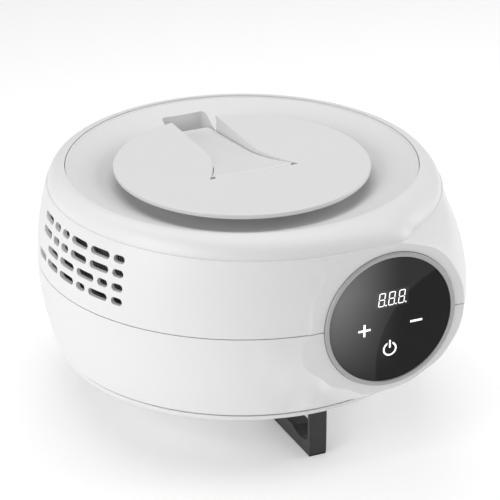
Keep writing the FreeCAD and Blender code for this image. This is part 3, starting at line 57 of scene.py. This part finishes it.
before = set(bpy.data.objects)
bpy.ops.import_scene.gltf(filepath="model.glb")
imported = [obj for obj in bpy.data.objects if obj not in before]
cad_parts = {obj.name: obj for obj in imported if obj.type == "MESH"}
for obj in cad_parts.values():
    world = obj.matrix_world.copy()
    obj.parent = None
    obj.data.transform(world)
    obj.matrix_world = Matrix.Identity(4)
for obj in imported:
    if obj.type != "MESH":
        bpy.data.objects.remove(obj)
CAD_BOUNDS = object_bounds()
SCREEN_FROM = math.radians(163.5)   # where the dust mesh starts and ends round the drum, from +X
SCREEN_TO = math.radians(214.5)
ARC_CENTRE = (1.29, 0.0, -0.74)     # middle of the curved edge of the painted reflection on the glass, in panel radii
ARC_INNER, ARC_OUTER = 1.50, 1.54   # the painted reflection's edge runs between these distances from it
FLOOR_REACH = 6.0                   # half the floor's width, in metres


# ---------------------------------------------------------------- settings
def centre_of(node):
    """The middle of a CAD node's box."""
    low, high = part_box(node)
    return Vector([(a + b) / 2 for a, b in zip(low, high)])


class DryerFinishSettings(bpy.types.PropertyGroup):
    """Colours and surfaces of the dryer's materials."""
    shell_colour: bpy.props.FloatVectorProperty(
        name="Shell", description="Colour of the moulded shells", subtype="COLOR",
        size=3, min=0.0, max=1.0, default=(0.80, 0.80, 0.80))
    lid_colour: bpy.props.FloatVectorProperty(
        name="Lid", description="Colour of the lid's dish and disc", subtype="COLOR",
        size=3, min=0.0, max=1.0, default=(0.76, 0.76, 0.76))
    shell_roughness: bpy.props.FloatProperty(
        name="Shell roughness", description="Roughness of the satin plastic", min=0.05, max=1.0, default=0.38)
    foot_colour: bpy.props.FloatVectorProperty(
        name="Feet", description="Colour of the feet", subtype="COLOR",
        size=3, min=0.0, max=1.0, default=(0.022, 0.022, 0.023))
    bezel_colour: bpy.props.FloatVectorProperty(
        name="Bezel", description="Colour of the ring round the panel", subtype="COLOR",
        size=3, min=0.0, max=1.0, default=(0.42, 0.42, 0.43))
    # The panel is black glass. Its lighter side is a painted reflection of the bright floor, not a tint of the
    # glass.
    glass_dark: bpy.props.FloatVectorProperty(
        name="Panel, dark side", description="Colour of the panel's dark side", subtype="COLOR",
        size=3, min=0.0, max=1.0, default=(0.008, 0.008, 0.009))
    glass_painted_reflection: bpy.props.FloatVectorProperty(
        name="Panel, light side", description="Colour of the smoked tint's light side", subtype="COLOR",
        size=3, min=0.0, max=1.0, default=(0.22, 0.22, 0.225))
    mark_glow: bpy.props.FloatProperty(
        name="Mark glow", description="Strength of the lit marks", min=0.0, max=5.0, default=1.0)


class DryerScreenSettings(bpy.types.PropertyGroup):
    """Sizes of the dust mesh behind the vents."""
    wire: bpy.props.FloatProperty(
        name="Wire", description="Radius of one wire", unit="LENGTH", min=0.0001, default=0.0003)
    pitch: bpy.props.FloatProperty(
        name="Pitch", description="Distance between wires", unit="LENGTH", min=0.0008, default=0.0014)


class DryerPanelSettings(bpy.types.PropertyGroup):
    """Sizes of the display's window."""
    window_width: bpy.props.FloatProperty(
        name="Window width", description="Width of the tinted display window", unit="LENGTH", default=0.0216)
    window_height: bpy.props.FloatProperty(
        name="Window height", description="Height of the tinted display window", unit="LENGTH", default=0.0110)
    window_rise: bpy.props.FloatProperty(
        name="Window rise", description="Height of the window above the panel's centre",
        unit="LENGTH", default=0.0135)


class DryerStageSettings(bpy.types.PropertyGroup):
    """Camera, lights and floor."""
    camera_place: bpy.props.FloatVectorProperty(
        name="Camera", description="Place of the camera", subtype="XYZ", unit="LENGTH",
        size=3, default=(-0.53146, -1.17780, 0.66217))
    camera_turn: bpy.props.FloatProperty(
        name="Camera turn", description="Turn of the camera about the drum", unit="ROTATION",
        default=math.radians(24.5))
    camera_dip: bpy.props.FloatProperty(
        name="Camera dip", description="How far the camera looks down", unit="ROTATION",
        default=math.radians(25.15))
    lens: bpy.props.FloatProperty(name="Lens", description="Focal length in millimetres", default=167.33)
    floor_colour: bpy.props.FloatVectorProperty(
        name="Floor", description="Colour of the floor", subtype="COLOR",
        size=3, min=0.0, max=1.0, default=(0.93, 0.93, 0.93))
    floor_glow: bpy.props.FloatProperty(name="Floor glow", description="Light given off by the floor", default=0.20)
    key_power: bpy.props.FloatProperty(name="Key power", description="Power of the overhead light", default=7.2)
    side_power: bpy.props.FloatProperty(name="Side power", description="Power of each side light", default=6.4)
    world_level: bpy.props.FloatProperty(
        name="Surroundings", description="Level of the white surroundings", default=0.30)


# ---------------------------------------------------------------- shader tools
def node_at(tree, kind, x, y):
    """A new shader or geometry node at a place in its tree's layout."""
    node = tree.nodes.new(kind)
    node.location = (x, y)
    return node


def grain_group():
    """Moulded plastic's fine grain: small changes of colour and roughness, and a bumped normal."""
    name = "Moulded Grain"
    if name in bpy.data.node_groups:
        return bpy.data.node_groups[name]
    tree = bpy.data.node_groups.new(name, "ShaderNodeTree")
    for label, kind, value in (("Colour", "NodeSocketColor", (0.8, 0.8, 0.8, 1.0)), ("Roughness", "NodeSocketFloat", 0.4),
                               ("Scale", "NodeSocketFloat", 900.0), ("Depth", "NodeSocketFloat", 0.05),
                               ("Mottle", "NodeSocketFloat", 0.02)):
        socket = tree.interface.new_socket(name=label, in_out="INPUT", socket_type=kind)
        socket.default_value = value
    for label, kind in (("Colour", "NodeSocketColor"), ("Roughness", "NodeSocketFloat"), ("Normal", "NodeSocketVector")):
        tree.interface.new_socket(name=label, in_out="OUTPUT", socket_type=kind)
    inputs = node_at(tree, "NodeGroupInput", -900, 0)
    outputs = node_at(tree, "NodeGroupOutput", 500, 0)
    place = node_at(tree, "ShaderNodeTexCoord", -900, -300)
    fine = node_at(tree, "ShaderNodeTexNoise", -600, -300)
    fine.inputs["Detail"].default_value = 3.0
    broad = node_at(tree, "ShaderNodeTexNoise", -600, 200)
    broad.inputs["Scale"].default_value = 22.0
    bump = node_at(tree, "ShaderNodeBump", 200, -300)
    bump.inputs["Distance"].default_value = 0.00005
    spread = node_at(tree, "ShaderNodeMath", -350, 200)
    spread.operation = "SUBTRACT"
    spread.inputs[1].default_value = 0.5
    amount = node_at(tree, "ShaderNodeMath", -150, 200)
    amount.operation = "MULTIPLY"
    level = node_at(tree, "ShaderNodeMath", 0, 200)
    level.inputs[1].default_value = 1.0
    shade = node_at(tree, "ShaderNodeMix", 200, 200)
    shade.data_type = "RGBA"
    shade.blend_type = "MULTIPLY"
    shade.inputs["Factor"].default_value = 1.0
    rough = node_at(tree, "ShaderNodeMath", 200, 0)
    link = tree.links.new
    link(place.outputs["Object"], fine.inputs["Vector"])
    link(place.outputs["Object"], broad.inputs["Vector"])
    link(inputs.outputs["Scale"], fine.inputs["Scale"])
    link(inputs.outputs["Depth"], bump.inputs["Strength"])
    link(fine.outputs["Fac"], bump.inputs["Height"])
    link(broad.outputs["Fac"], spread.inputs[0])
    link(spread.outputs[0], amount.inputs[0])
    link(inputs.outputs["Mottle"], amount.inputs[1])
    link(amount.outputs[0], level.inputs[0])
    link(inputs.outputs["Colour"], shade.inputs["A"])
    link(level.outputs[0], shade.inputs["B"])
    link(inputs.outputs["Roughness"], rough.inputs[0])
    link(amount.outputs[0], rough.inputs[1])
    link(shade.outputs["Result"], outputs.inputs["Colour"])
    link(rough.outputs[0], outputs.inputs["Roughness"])
    link(bump.outputs["Normal"], outputs.inputs["Normal"])
    return tree


def grained(name, colour, roughness, scale, depth, mottle=0.02, metallic=0.0, coat=0.0, specular=0.5):
    """A material whose colour, roughness and normal come from the grain group."""
    material = bpy.data.materials.new(name)
    material.use_nodes = True
    tree = material.node_tree
    shader = tree.nodes["Principled BSDF"]
    grain = node_at(tree, "ShaderNodeGroup", -300, 0)
    grain.node_tree = grain_group()
    grain.inputs["Colour"].default_value = (*colour, 1.0)
    grain.inputs["Roughness"].default_value = roughness
    grain.inputs["Scale"].default_value = scale
    grain.inputs["Depth"].default_value = depth
    grain.inputs["Mottle"].default_value = mottle
    shader.inputs["Metallic"].default_value = metallic
    shader.inputs["Coat Weight"].default_value = coat
    shader.inputs["Coat Roughness"].default_value = 0.12
    shader.inputs["Specular IOR Level"].default_value = specular
    tree.links.new(grain.outputs["Colour"], shader.inputs["Base Color"])
    tree.links.new(grain.outputs["Roughness"], shader.inputs["Roughness"])
    tree.links.new(grain.outputs["Normal"], shader.inputs["Normal"])
    return material


def window_mask(tree, place, window):
    """1 inside the display's rectangular window, 0 outside; sizes are in panel radii."""
    centre_x, centre_z, half_width, half_height = window
    split = node_at(tree, "ShaderNodeSeparateXYZ", -900, 600)
    tree.links.new(place, split.inputs["Vector"])
    sides = []
    for row, (axis, centre, half) in enumerate((("X", centre_x, half_width), ("Z", centre_z, half_height))):
        side = node_at(tree, "ShaderNodeMath", -700, 600 + 160 * row)
        side.operation = "COMPARE"
        side.inputs[1].default_value = centre
        side.inputs[2].default_value = half
        tree.links.new(split.outputs[axis], side.inputs[0])
        sides.append(side)
    both = node_at(tree, "ShaderNodeMath", -500, 650)
    both.operation = "MULTIPLY"
    for socket, side in enumerate(sides):
        tree.links.new(side.outputs[0], both.inputs[socket])
    return both.outputs[0]


def glass_with_painted_reflection(name, light, dark, centre, radius, window):
    """Black smoked panel with a painted reflection: lighter towards its left edge, with a curved border between the
    tones.
    """
    material = grained(name, dark, 0.10, 60.0, 0.0, mottle=0.0, specular=0.15)
    tree = material.node_tree
    grain = next(node for node in tree.nodes if node.type == "GROUP")
    place = node_at(tree, "ShaderNodeTexCoord", -1300, 200)
    shift = node_at(tree, "ShaderNodeMapping", -1100, 200)
    shift.inputs["Location"].default_value = [-value / radius for value in centre]
    shift.inputs["Scale"].default_value = (1 / radius, 1 / radius, 1 / radius)
    split = node_at(tree, "ShaderNodeSeparateXYZ", -900, 200)
    # painted reflection: lighter towards the panel's left and upper side
    reflection_sideways = node_at(tree, "ShaderNodeMapRange", -700, 300)
    reflection_sideways.interpolation_type = "SMOOTHSTEP"
    reflection_sideways.inputs["From Min"].default_value = 0.25
    reflection_sideways.inputs["From Max"].default_value = -1.05
    reflection_fade = node_at(tree, "ShaderNodeMapRange", -700, 0)
    reflection_fade.inputs["From Min"].default_value = -0.9
    reflection_fade.inputs["From Max"].default_value = 0.5
    # the curved edge of the painted reflection, drawn as a faint lighter line
    arc = node_at(tree, "ShaderNodeVectorMath", -900, -200)
    arc.operation = "DISTANCE"
    arc.inputs[1].default_value = ARC_CENTRE
    flat = node_at(tree, "ShaderNodeVectorMath", -1000, -350)
    flat.operation = "MULTIPLY"
    flat.inputs[1].default_value = (1.0, 0.0, 1.0)
    border = node_at(tree, "ShaderNodeMapRange", -700, -250)
    border.inputs["From Min"].default_value = ARC_INNER
    border.inputs["From Max"].default_value = ARC_OUTER
    reflection_edge = node_at(tree, "ShaderNodeMath", -500, -250)
    reflection_edge.operation = "MULTIPLY"
    reflection_edge.inputs[1].default_value = 0.10
    both = node_at(tree, "ShaderNodeMath", -500, 200)
    both.operation = "MULTIPLY"
    reflection_amount = node_at(tree, "ShaderNodeMath", -350, 200)
    reflection_amount.use_clamp = True
    # mixes the black glass with the painted reflection
    painted_reflection = node_at(tree, "ShaderNodeMix", -200, 300)
    painted_reflection.data_type = "RGBA"
    painted_reflection.inputs["A"].default_value = (*dark, 1.0)
    painted_reflection.inputs["B"].default_value = (*light, 1.0)
    link = tree.links.new
    link(place.outputs["Object"], shift.inputs["Vector"])
    link(shift.outputs["Vector"], split.inputs["Vector"])
    link(split.outputs["X"], reflection_sideways.inputs["Value"])
    link(split.outputs["Z"], reflection_fade.inputs["Value"])
    link(shift.outputs["Vector"], flat.inputs[0])
    link(flat.outputs["Vector"], arc.inputs[0])
    link(arc.outputs["Value"], border.inputs["Value"])
    link(border.outputs["Result"], reflection_edge.inputs[0])
    link(reflection_sideways.outputs["Result"], both.inputs[0])
    link(reflection_fade.outputs["Result"], both.inputs[1])
    link(both.outputs[0], reflection_amount.inputs[0])
    link(reflection_edge.outputs[0], reflection_amount.inputs[1])
    link(reflection_amount.outputs[0], painted_reflection.inputs["Factor"])
    inside = window_mask(tree, shift.outputs["Vector"], window)
    lift = node_at(tree, "ShaderNodeMix", 0, 300)
    lift.data_type = "RGBA"
    lift.blend_type = "ADD"
    lift.inputs["B"].default_value = (0.022, 0.022, 0.023, 1.0)
    link(inside, lift.inputs["Factor"])
    link(painted_reflection.outputs["Result"], lift.inputs["A"])
    link(lift.outputs["Result"], grain.inputs["Colour"])
    return material


def lit_mark(name, colour, glow):
    """A printed or lit mark that shines a little by itself."""
    material = grained(name, colour, 0.4, 300.0, 0.0, mottle=0.0)
    shader = material.node_tree.nodes["Principled BSDF"]
    shader.inputs["Emission Color"].default_value = (*colour, 1.0)
    shader.inputs["Emission Strength"].default_value = glow
    return material


def dress(node, material):
    """Gives a CAD node one material."""
    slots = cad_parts[node].material_slots
    for slot in slots:
        slot.material = material
    if not slots:
        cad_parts[node].data.materials.append(material)


def settings(context):
    """The scene's dryer settings."""
    scene = context.scene
    return scene.dryer_finish, scene.dryer_screen, scene.dryer_panel, scene.dryer_stage


# ---------------------------------------------------------------- mesh tools
def add_mesh(name, mesh_data, material):
    """A linked object at the origin with one material."""
    piece = bpy.data.objects.new(name, mesh_data)
    bpy.context.scene.collection.objects.link(piece)
    piece.data.materials.clear()
    piece.data.materials.append(material)
    return piece


def settled(piece, name):
    """Turns a piece's evaluated modifiers into its own mesh."""
    graph = bpy.context.evaluated_depsgraph_get()
    graph.update()
    mesh = bpy.data.meshes.new_from_object(
        piece.evaluated_get(graph), preserve_all_data_layers=True, depsgraph=graph)
    piece.modifiers.clear()
    piece.data = mesh
    mesh.name = name
    return piece


# ---------------------------------------------------------------- geometry nodes
def woven_tree(material):
    """Wires bent round the drum and upright wires, crossing on a cylinder."""
    tree = bpy.data.node_groups.new("Woven Screen", "GeometryNodeTree")
    face = tree.interface
    for label, kind in (("Radius", "NodeSocketFloat"), ("Start", "NodeSocketFloat"), ("Sweep", "NodeSocketFloat"),
                        ("Bottom", "NodeSocketFloat"), ("Height", "NodeSocketFloat"), ("Wire", "NodeSocketFloat"),
                        ("Rows", "NodeSocketInt"), ("Columns", "NodeSocketInt")):
        face.new_socket(name=label, in_out="INPUT", socket_type=kind)
    face.new_socket(name="Geometry", in_out="OUTPUT", socket_type="NodeSocketGeometry")
    inputs = node_at(tree, "NodeGroupInput", -900, 0)
    outputs = node_at(tree, "NodeGroupOutput", 900, 0)
    arc = node_at(tree, "GeometryNodeCurveArc", -600, 200)
    arc.inputs["Resolution"].default_value = 40
    upright = node_at(tree, "GeometryNodeCurvePrimitiveLine", -600, -200)
    top = node_at(tree, "ShaderNodeCombineXYZ", -750, -250)
    rise = node_at(tree, "ShaderNodeCombineXYZ", -200, 350)
    section = node_at(tree, "GeometryNodeCurvePrimitiveCircle", -400, -400)
    section.inputs["Resolution"].default_value = 5
    hoop = node_at(tree, "GeometryNodeCurveToMesh", -300, 200)
    post = node_at(tree, "GeometryNodeCurveToMesh", -300, -200)
    levels = node_at(tree, "GeometryNodeMeshLine", -300, 500)
    levels.mode = "END_POINTS"
    places = node_at(tree, "GeometryNodeResampleCurve", -300, 0)
    spread_hoops = node_at(tree, "GeometryNodeInstanceOnPoints", 0, 200)
    spread_posts = node_at(tree, "GeometryNodeInstanceOnPoints", 0, -200)
    low = node_at(tree, "ShaderNodeCombineXYZ", -500, 600)
    high = node_at(tree, "ShaderNodeCombineXYZ", -500, 450)
    high_z = node_at(tree, "ShaderNodeMath", -650, 450)
    lift = node_at(tree, "GeometryNodeTransform", 200, -200)
    together = node_at(tree, "GeometryNodeJoinGeometry", 400, 0)
    real = node_at(tree, "GeometryNodeRealizeInstances", 550, 0)
    paint = node_at(tree, "GeometryNodeSetMaterial", 700, 0)
    paint.inputs["Material"].default_value = material
    link = tree.links.new
    link(inputs.outputs["Radius"], arc.inputs["Radius"])
    link(inputs.outputs["Start"], arc.inputs["Start Angle"])
    link(inputs.outputs["Sweep"], arc.inputs["Sweep Angle"])
    link(inputs.outputs["Height"], top.inputs["Z"])
    link(top.outputs["Vector"], upright.inputs["End"])
    link(inputs.outputs["Wire"], section.inputs["Radius"])
    link(arc.outputs["Curve"], hoop.inputs["Curve"])
    link(section.outputs["Curve"], hoop.inputs["Profile Curve"])
    link(upright.outputs["Curve"], post.inputs["Curve"])
    link(section.outputs["Curve"], post.inputs["Profile Curve"])
    link(inputs.outputs["Bottom"], low.inputs["Z"])
    link(inputs.outputs["Bottom"], high_z.inputs[0])
    link(inputs.outputs["Height"], high_z.inputs[1])
    link(high_z.outputs[0], high.inputs["Z"])
    link(inputs.outputs["Rows"], levels.inputs["Count"])
    link(low.outputs["Vector"], levels.inputs["Start Location"])
    link(high.outputs["Vector"], levels.inputs["Offset"])
    link(levels.outputs["Mesh"], spread_hoops.inputs["Points"])
    link(hoop.outputs["Mesh"], spread_hoops.inputs["Instance"])
    link(arc.outputs["Curve"], places.inputs["Curve"])
    link(inputs.outputs["Columns"], places.inputs["Count"])
    link(places.outputs["Curve"], spread_posts.inputs["Points"])
    link(post.outputs["Mesh"], spread_posts.inputs["Instance"])
    link(inputs.outputs["Bottom"], rise.inputs["Z"])
    link(rise.outputs["Vector"], lift.inputs["Translation"])
    link(spread_posts.outputs["Instances"], lift.inputs["Geometry"])
    link(spread_hoops.outputs["Instances"], together.inputs["Geometry"])
    link(lift.outputs["Geometry"], together.inputs["Geometry"])
    link(together.outputs["Geometry"], real.inputs["Geometry"])
    link(real.outputs["Geometry"], paint.inputs["Geometry"])
    link(paint.outputs["Geometry"], outputs.inputs["Geometry"])
    return tree


def grown(name, tree, values, material):
    """A piece made by a geometry tree with the given inputs, as a plain mesh."""
    piece = add_mesh(name, bpy.data.meshes.new(name), material)
    modifier = piece.modifiers.new(name, "NODES")
    modifier.node_group = tree
    for item in tree.interface.items_tree:
        if item.in_out == "INPUT" and item.name in values:
            modifier[item.identifier] = values[item.name]
    piece.update_tag()
    return settled(piece, name)


# ---------------------------------------------------------------- operators
class DRYER_OT_shells(bpy.types.Operator):
    """Satin white plastic on the two shells and the base"""
    bl_idname = "dryer.shells"
    bl_label = "Shells"

    def execute(self, context):
        finish, _, _, _ = settings(context)
        white = grained("Shell white", finish.shell_colour, finish.shell_roughness, 1400.0, 0.10, mottle=0.012)
        for node in ("upper_shell", "lower_shell", "base_plate"):
            dress(node, white)
        return {"FINISHED"}


class DRYER_OT_lid(bpy.types.Operator):
    """Finer satin plastic on the lid's dish, disc and tab"""
    bl_idname = "dryer.lid"
    bl_label = "Lid"

    def execute(self, context):
        finish, _, _, _ = settings(context)
        pale = grained("Lid white", finish.lid_colour, finish.shell_roughness + 0.08, 1800.0, 0.12, mottle=0.012)
        for node in ("lid_dish", "lid_knob", "lift_tab"):
            dress(node, pale)
        dress("lid_liner", grained("Lid liner", (0.62, 0.62, 0.61), 0.6, 900.0, 0.2))
        dress("lid_seal", grained("Seal rubber", (0.10, 0.10, 0.10), 0.75, 700.0, 0.3))
        return {"FINISHED"}


class DRYER_OT_panel(bpy.types.Operator):
    """Silver bezel, smoked panel with a painted reflection, lit marks and the display's window"""
    bl_idname = "dryer.panel"
    bl_label = "Control panel"

    def execute(self, context):
        finish, _, panel, _ = settings(context)
        glass_low, glass_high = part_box("panel_glass")
        centre = centre_of("panel_glass")
        radius = (glass_high[0] - glass_low[0]) / 2
        dress("bezel_ring", grained("Bezel silver", finish.bezel_colour, 0.33, 1500.0, 0.08, metallic=0.25))
        window = (0.0005 / radius, panel.window_rise / radius,
                  panel.window_width / 2 / radius, panel.window_height / 2 / radius)
        # the panel glass gets a painted reflection of the floor over its left side
        glass = glass_with_painted_reflection("Smoked panel with painted reflection", finish.glass_painted_reflection, finish.glass_dark, centre, radius, window)
        dress("panel_glass", glass)
        dress("panel_marks", lit_mark("Lit marks", (0.93, 0.94, 0.95), finish.mark_glow))
        return {"FINISHED"}


class DRYER_OT_feet(bpy.types.Operator):
    """Textured black plastic feet and their rubber soles"""
    bl_idname = "dryer.feet"
    bl_label = "Feet"

    def execute(self, context):
        finish, _, _, _ = settings(context)
        black = grained("Foot black", finish.foot_colour, 0.45, 1100.0, 0.25, mottle=0.08)
        sole = grained("Sole rubber", (0.012, 0.012, 0.012), 0.8, 600.0, 0.4)
        for side in ("front", "right", "left"):
            dress("foot_" + side, black)
            dress("foot_pad_" + side, sole)
        return {"FINISHED"}


class DRYER_OT_dust_screen(bpy.types.Operator):
    """Woven dust mesh behind the vents"""
    bl_idname = "dryer.dust_screen"
    bl_label = "Dust screen"

    def execute(self, context):
        _, screen, _, _ = settings(context)
        low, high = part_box("dust_screen")
        radius = abs(low[0]) - 1.2 * screen.wire
        bottom = low[2] + screen.wire
        height = high[2] - low[2] - 2 * screen.wire
        material = grained("Dust mesh", (0.06, 0.06, 0.06), 0.6, 800.0, 0.1)
        values = {"Radius": radius, "Start": SCREEN_FROM, "Sweep": SCREEN_TO - SCREEN_FROM, "Bottom": bottom, "Height": height,
                  "Wire": screen.wire, "Rows": int(height / screen.pitch),
                  "Columns": int(radius * (SCREEN_TO - SCREEN_FROM) / screen.pitch)}
        mesh = grown("dust_mesh", woven_tree(material), values, material)
        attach(mesh, "housing")
        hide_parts("dust_screen")
        return {"FINISHED"}


class DRYER_OT_inside(bpy.types.Operator):
    """Chamber, turntable, air supply, boards and fasteners"""
    bl_idname = "dryer.inside"
    bl_label = "Inside"

    def execute(self, context):
        liner = grained("Chamber plastic", (0.58, 0.58, 0.57), 0.55, 900.0, 0.2)
        table = grained("Turntable plastic", (0.30, 0.30, 0.31), 0.5, 900.0, 0.25)
        black = grained("Moulded black", (0.02, 0.02, 0.02), 0.5, 900.0, 0.25)
        steel = grained("Plated steel", (0.55, 0.55, 0.56), 0.28, 400.0, 0.05, metallic=1.0)
        board = grained("Board green", (0.01, 0.09, 0.04), 0.35, 500.0, 0.05)
        tan = grained("Heat plastic", (0.35, 0.24, 0.13), 0.6, 500.0, 0.2)
        fins = grained("Heater metal", (0.6, 0.6, 0.6), 0.4, 500.0, 0.1, metallic=1.0)
        wire = grained("Wire red", (0.35, 0.02, 0.02), 0.5, 300.0, 0.1)
        cream = grained("Spacer cream", (0.62, 0.60, 0.52), 0.5, 500.0, 0.1)
        groups = (
            (liner, "chamber_liner diffuser_plate"), (table, "turntable spool_hub"),
            (black, "outlet_bush blower_case blower_wheel power_inlet power_parts control_parts display_module "
                    "humidity_sensor"),
            (steel, "centre_post post_clip bearing_inner bearing_outer bearing_balls blower_motor foot_pins tab_pin "
                    "liner_screws blower_screws board_screws panel_screws shell_screws base_screws hub_screws lid_screws "
                    "knob_screws thermal_fuse temperature_sensor"),
            (board, "power_board touch_board control_board"), (tan, "heater_frame"), (fins, "heater_block"),
            (wire, "harness"), (cream, "board_spacers touch_contacts"))
        for material, nodes in groups:
            for node in nodes.split():
                dress(node, material)
        return {"FINISHED"}


def area_light(name, place, target, width, height, power):
    """A soft rectangular light aimed at a point."""
    data = bpy.data.lights.new(name, "AREA")
    data.shape = "RECTANGLE"
    data.size = width
    data.size_y = height
    data.energy = power
    lamp = bpy.data.objects.new(name, data)
    lamp.location = place
    lamp.rotation_euler = (Vector(target) - Vector(place)).to_track_quat("-Z", "Y").to_euler()
    bpy.context.scene.collection.objects.link(lamp)
    return lamp


class DRYER_OT_stage(bpy.types.Operator):
    """Floor, lights and camera"""
    bl_idname = "dryer.stage"
    bl_label = "Stage"

    def execute(self, context):
        stage = settings(context)[3]
        scene = context.scene
        scene.view_settings.view_transform = "Standard"
        floor_z = CAD_BOUNDS[0][2]
        mesh = bpy.data.meshes.new("floor")
        reach = FLOOR_REACH
        mesh.from_pydata([(-reach, -reach, floor_z), (reach, -reach, floor_z), (reach, reach, floor_z),
                          (-reach, reach, floor_z)], [], [(0, 1, 2, 3)])
        surface = grained("Floor", stage.floor_colour, 0.9, 4.0, 0.0, mottle=0.0, specular=0.1)
        for node in surface.node_tree.nodes:
            if node.type == "BSDF_PRINCIPLED":
                node.inputs["Emission Color"].default_value = (1.0, 1.0, 1.0, 1.0)
                node.inputs["Emission Strength"].default_value = stage.floor_glow
        floor = add_mesh("floor", mesh, surface)
        world = bpy.data.worlds.new("Surroundings")
        world.use_nodes = True
        background = world.node_tree.nodes["Background"]
        background.inputs["Color"].default_value = (1.0, 1.0, 1.0, 1.0)
        background.inputs["Strength"].default_value = stage.world_level
        scene.world = world
        middle = (0.0, 0.0, 0.05)
        area_light("overhead", (0.0, 0.25, 1.1), middle, 1.2, 1.2, stage.key_power)
        area_light("left side", (-1.1, -0.35, 0.45), middle, 0.7, 0.9, stage.side_power)
        area_light("right side", (1.15, -0.25, 0.5), middle, 0.8, 0.9, stage.side_power)
        data = bpy.data.cameras.new("camera")
        data.lens = stage.lens
        data.sensor_width = 36.0
        data.clip_start = 0.05
        data.clip_end = 50.0
        camera = bpy.data.objects.new("camera", data)
        scene.collection.objects.link(camera)
        camera.location = stage.camera_place
        camera.rotation_euler = (math.radians(90) - stage.camera_dip, 0.0, -stage.camera_turn)
        scene.camera = camera
        return {"FINISHED"}


class DRYER_PT_panel(bpy.types.Panel):
    """Lists the dryer's operators and settings"""
    bl_idname = "DRYER_PT_panel"
    bl_label = "Filament dryer"
    bl_space_type = "VIEW_3D"
    bl_region_type = "UI"
    bl_category = "Dryer"

    def draw(self, context):
        for operator in OPERATORS:
            self.layout.operator(operator.bl_idname)
        for group in settings(context):
            for name in group.__annotations__:
                self.layout.prop(group, name)


GROUPS = {"dryer_finish": DryerFinishSettings, "dryer_screen": DryerScreenSettings,
          "dryer_panel": DryerPanelSettings, "dryer_stage": DryerStageSettings}
OPERATORS = (DRYER_OT_shells, DRYER_OT_lid, DRYER_OT_panel, DRYER_OT_feet, DRYER_OT_dust_screen, DRYER_OT_inside,
             DRYER_OT_stage)


def register():
    for group in GROUPS.values():
        bpy.utils.register_class(group)
    for name, group in GROUPS.items():
        setattr(bpy.types.Scene, name, bpy.props.PointerProperty(type=group))
    for operator in OPERATORS:
        bpy.utils.register_class(operator)
    bpy.utils.register_class(DRYER_PT_panel)


def unregister():
    bpy.utils.unregister_class(DRYER_PT_panel)
    for operator in reversed(OPERATORS):
        bpy.utils.unregister_class(operator)
    for name, group in GROUPS.items():
        delattr(bpy.types.Scene, name)
        bpy.utils.unregister_class(group)


def main():
    register()
    bpy.ops.dryer.shells()
    bpy.ops.dryer.lid()
    bpy.ops.dryer.panel()
    bpy.ops.dryer.feet()
    bpy.ops.dryer.dust_screen()
    bpy.ops.dryer.inside()
    bpy.ops.dryer.stage()


if __name__ == "__main__":
    main()
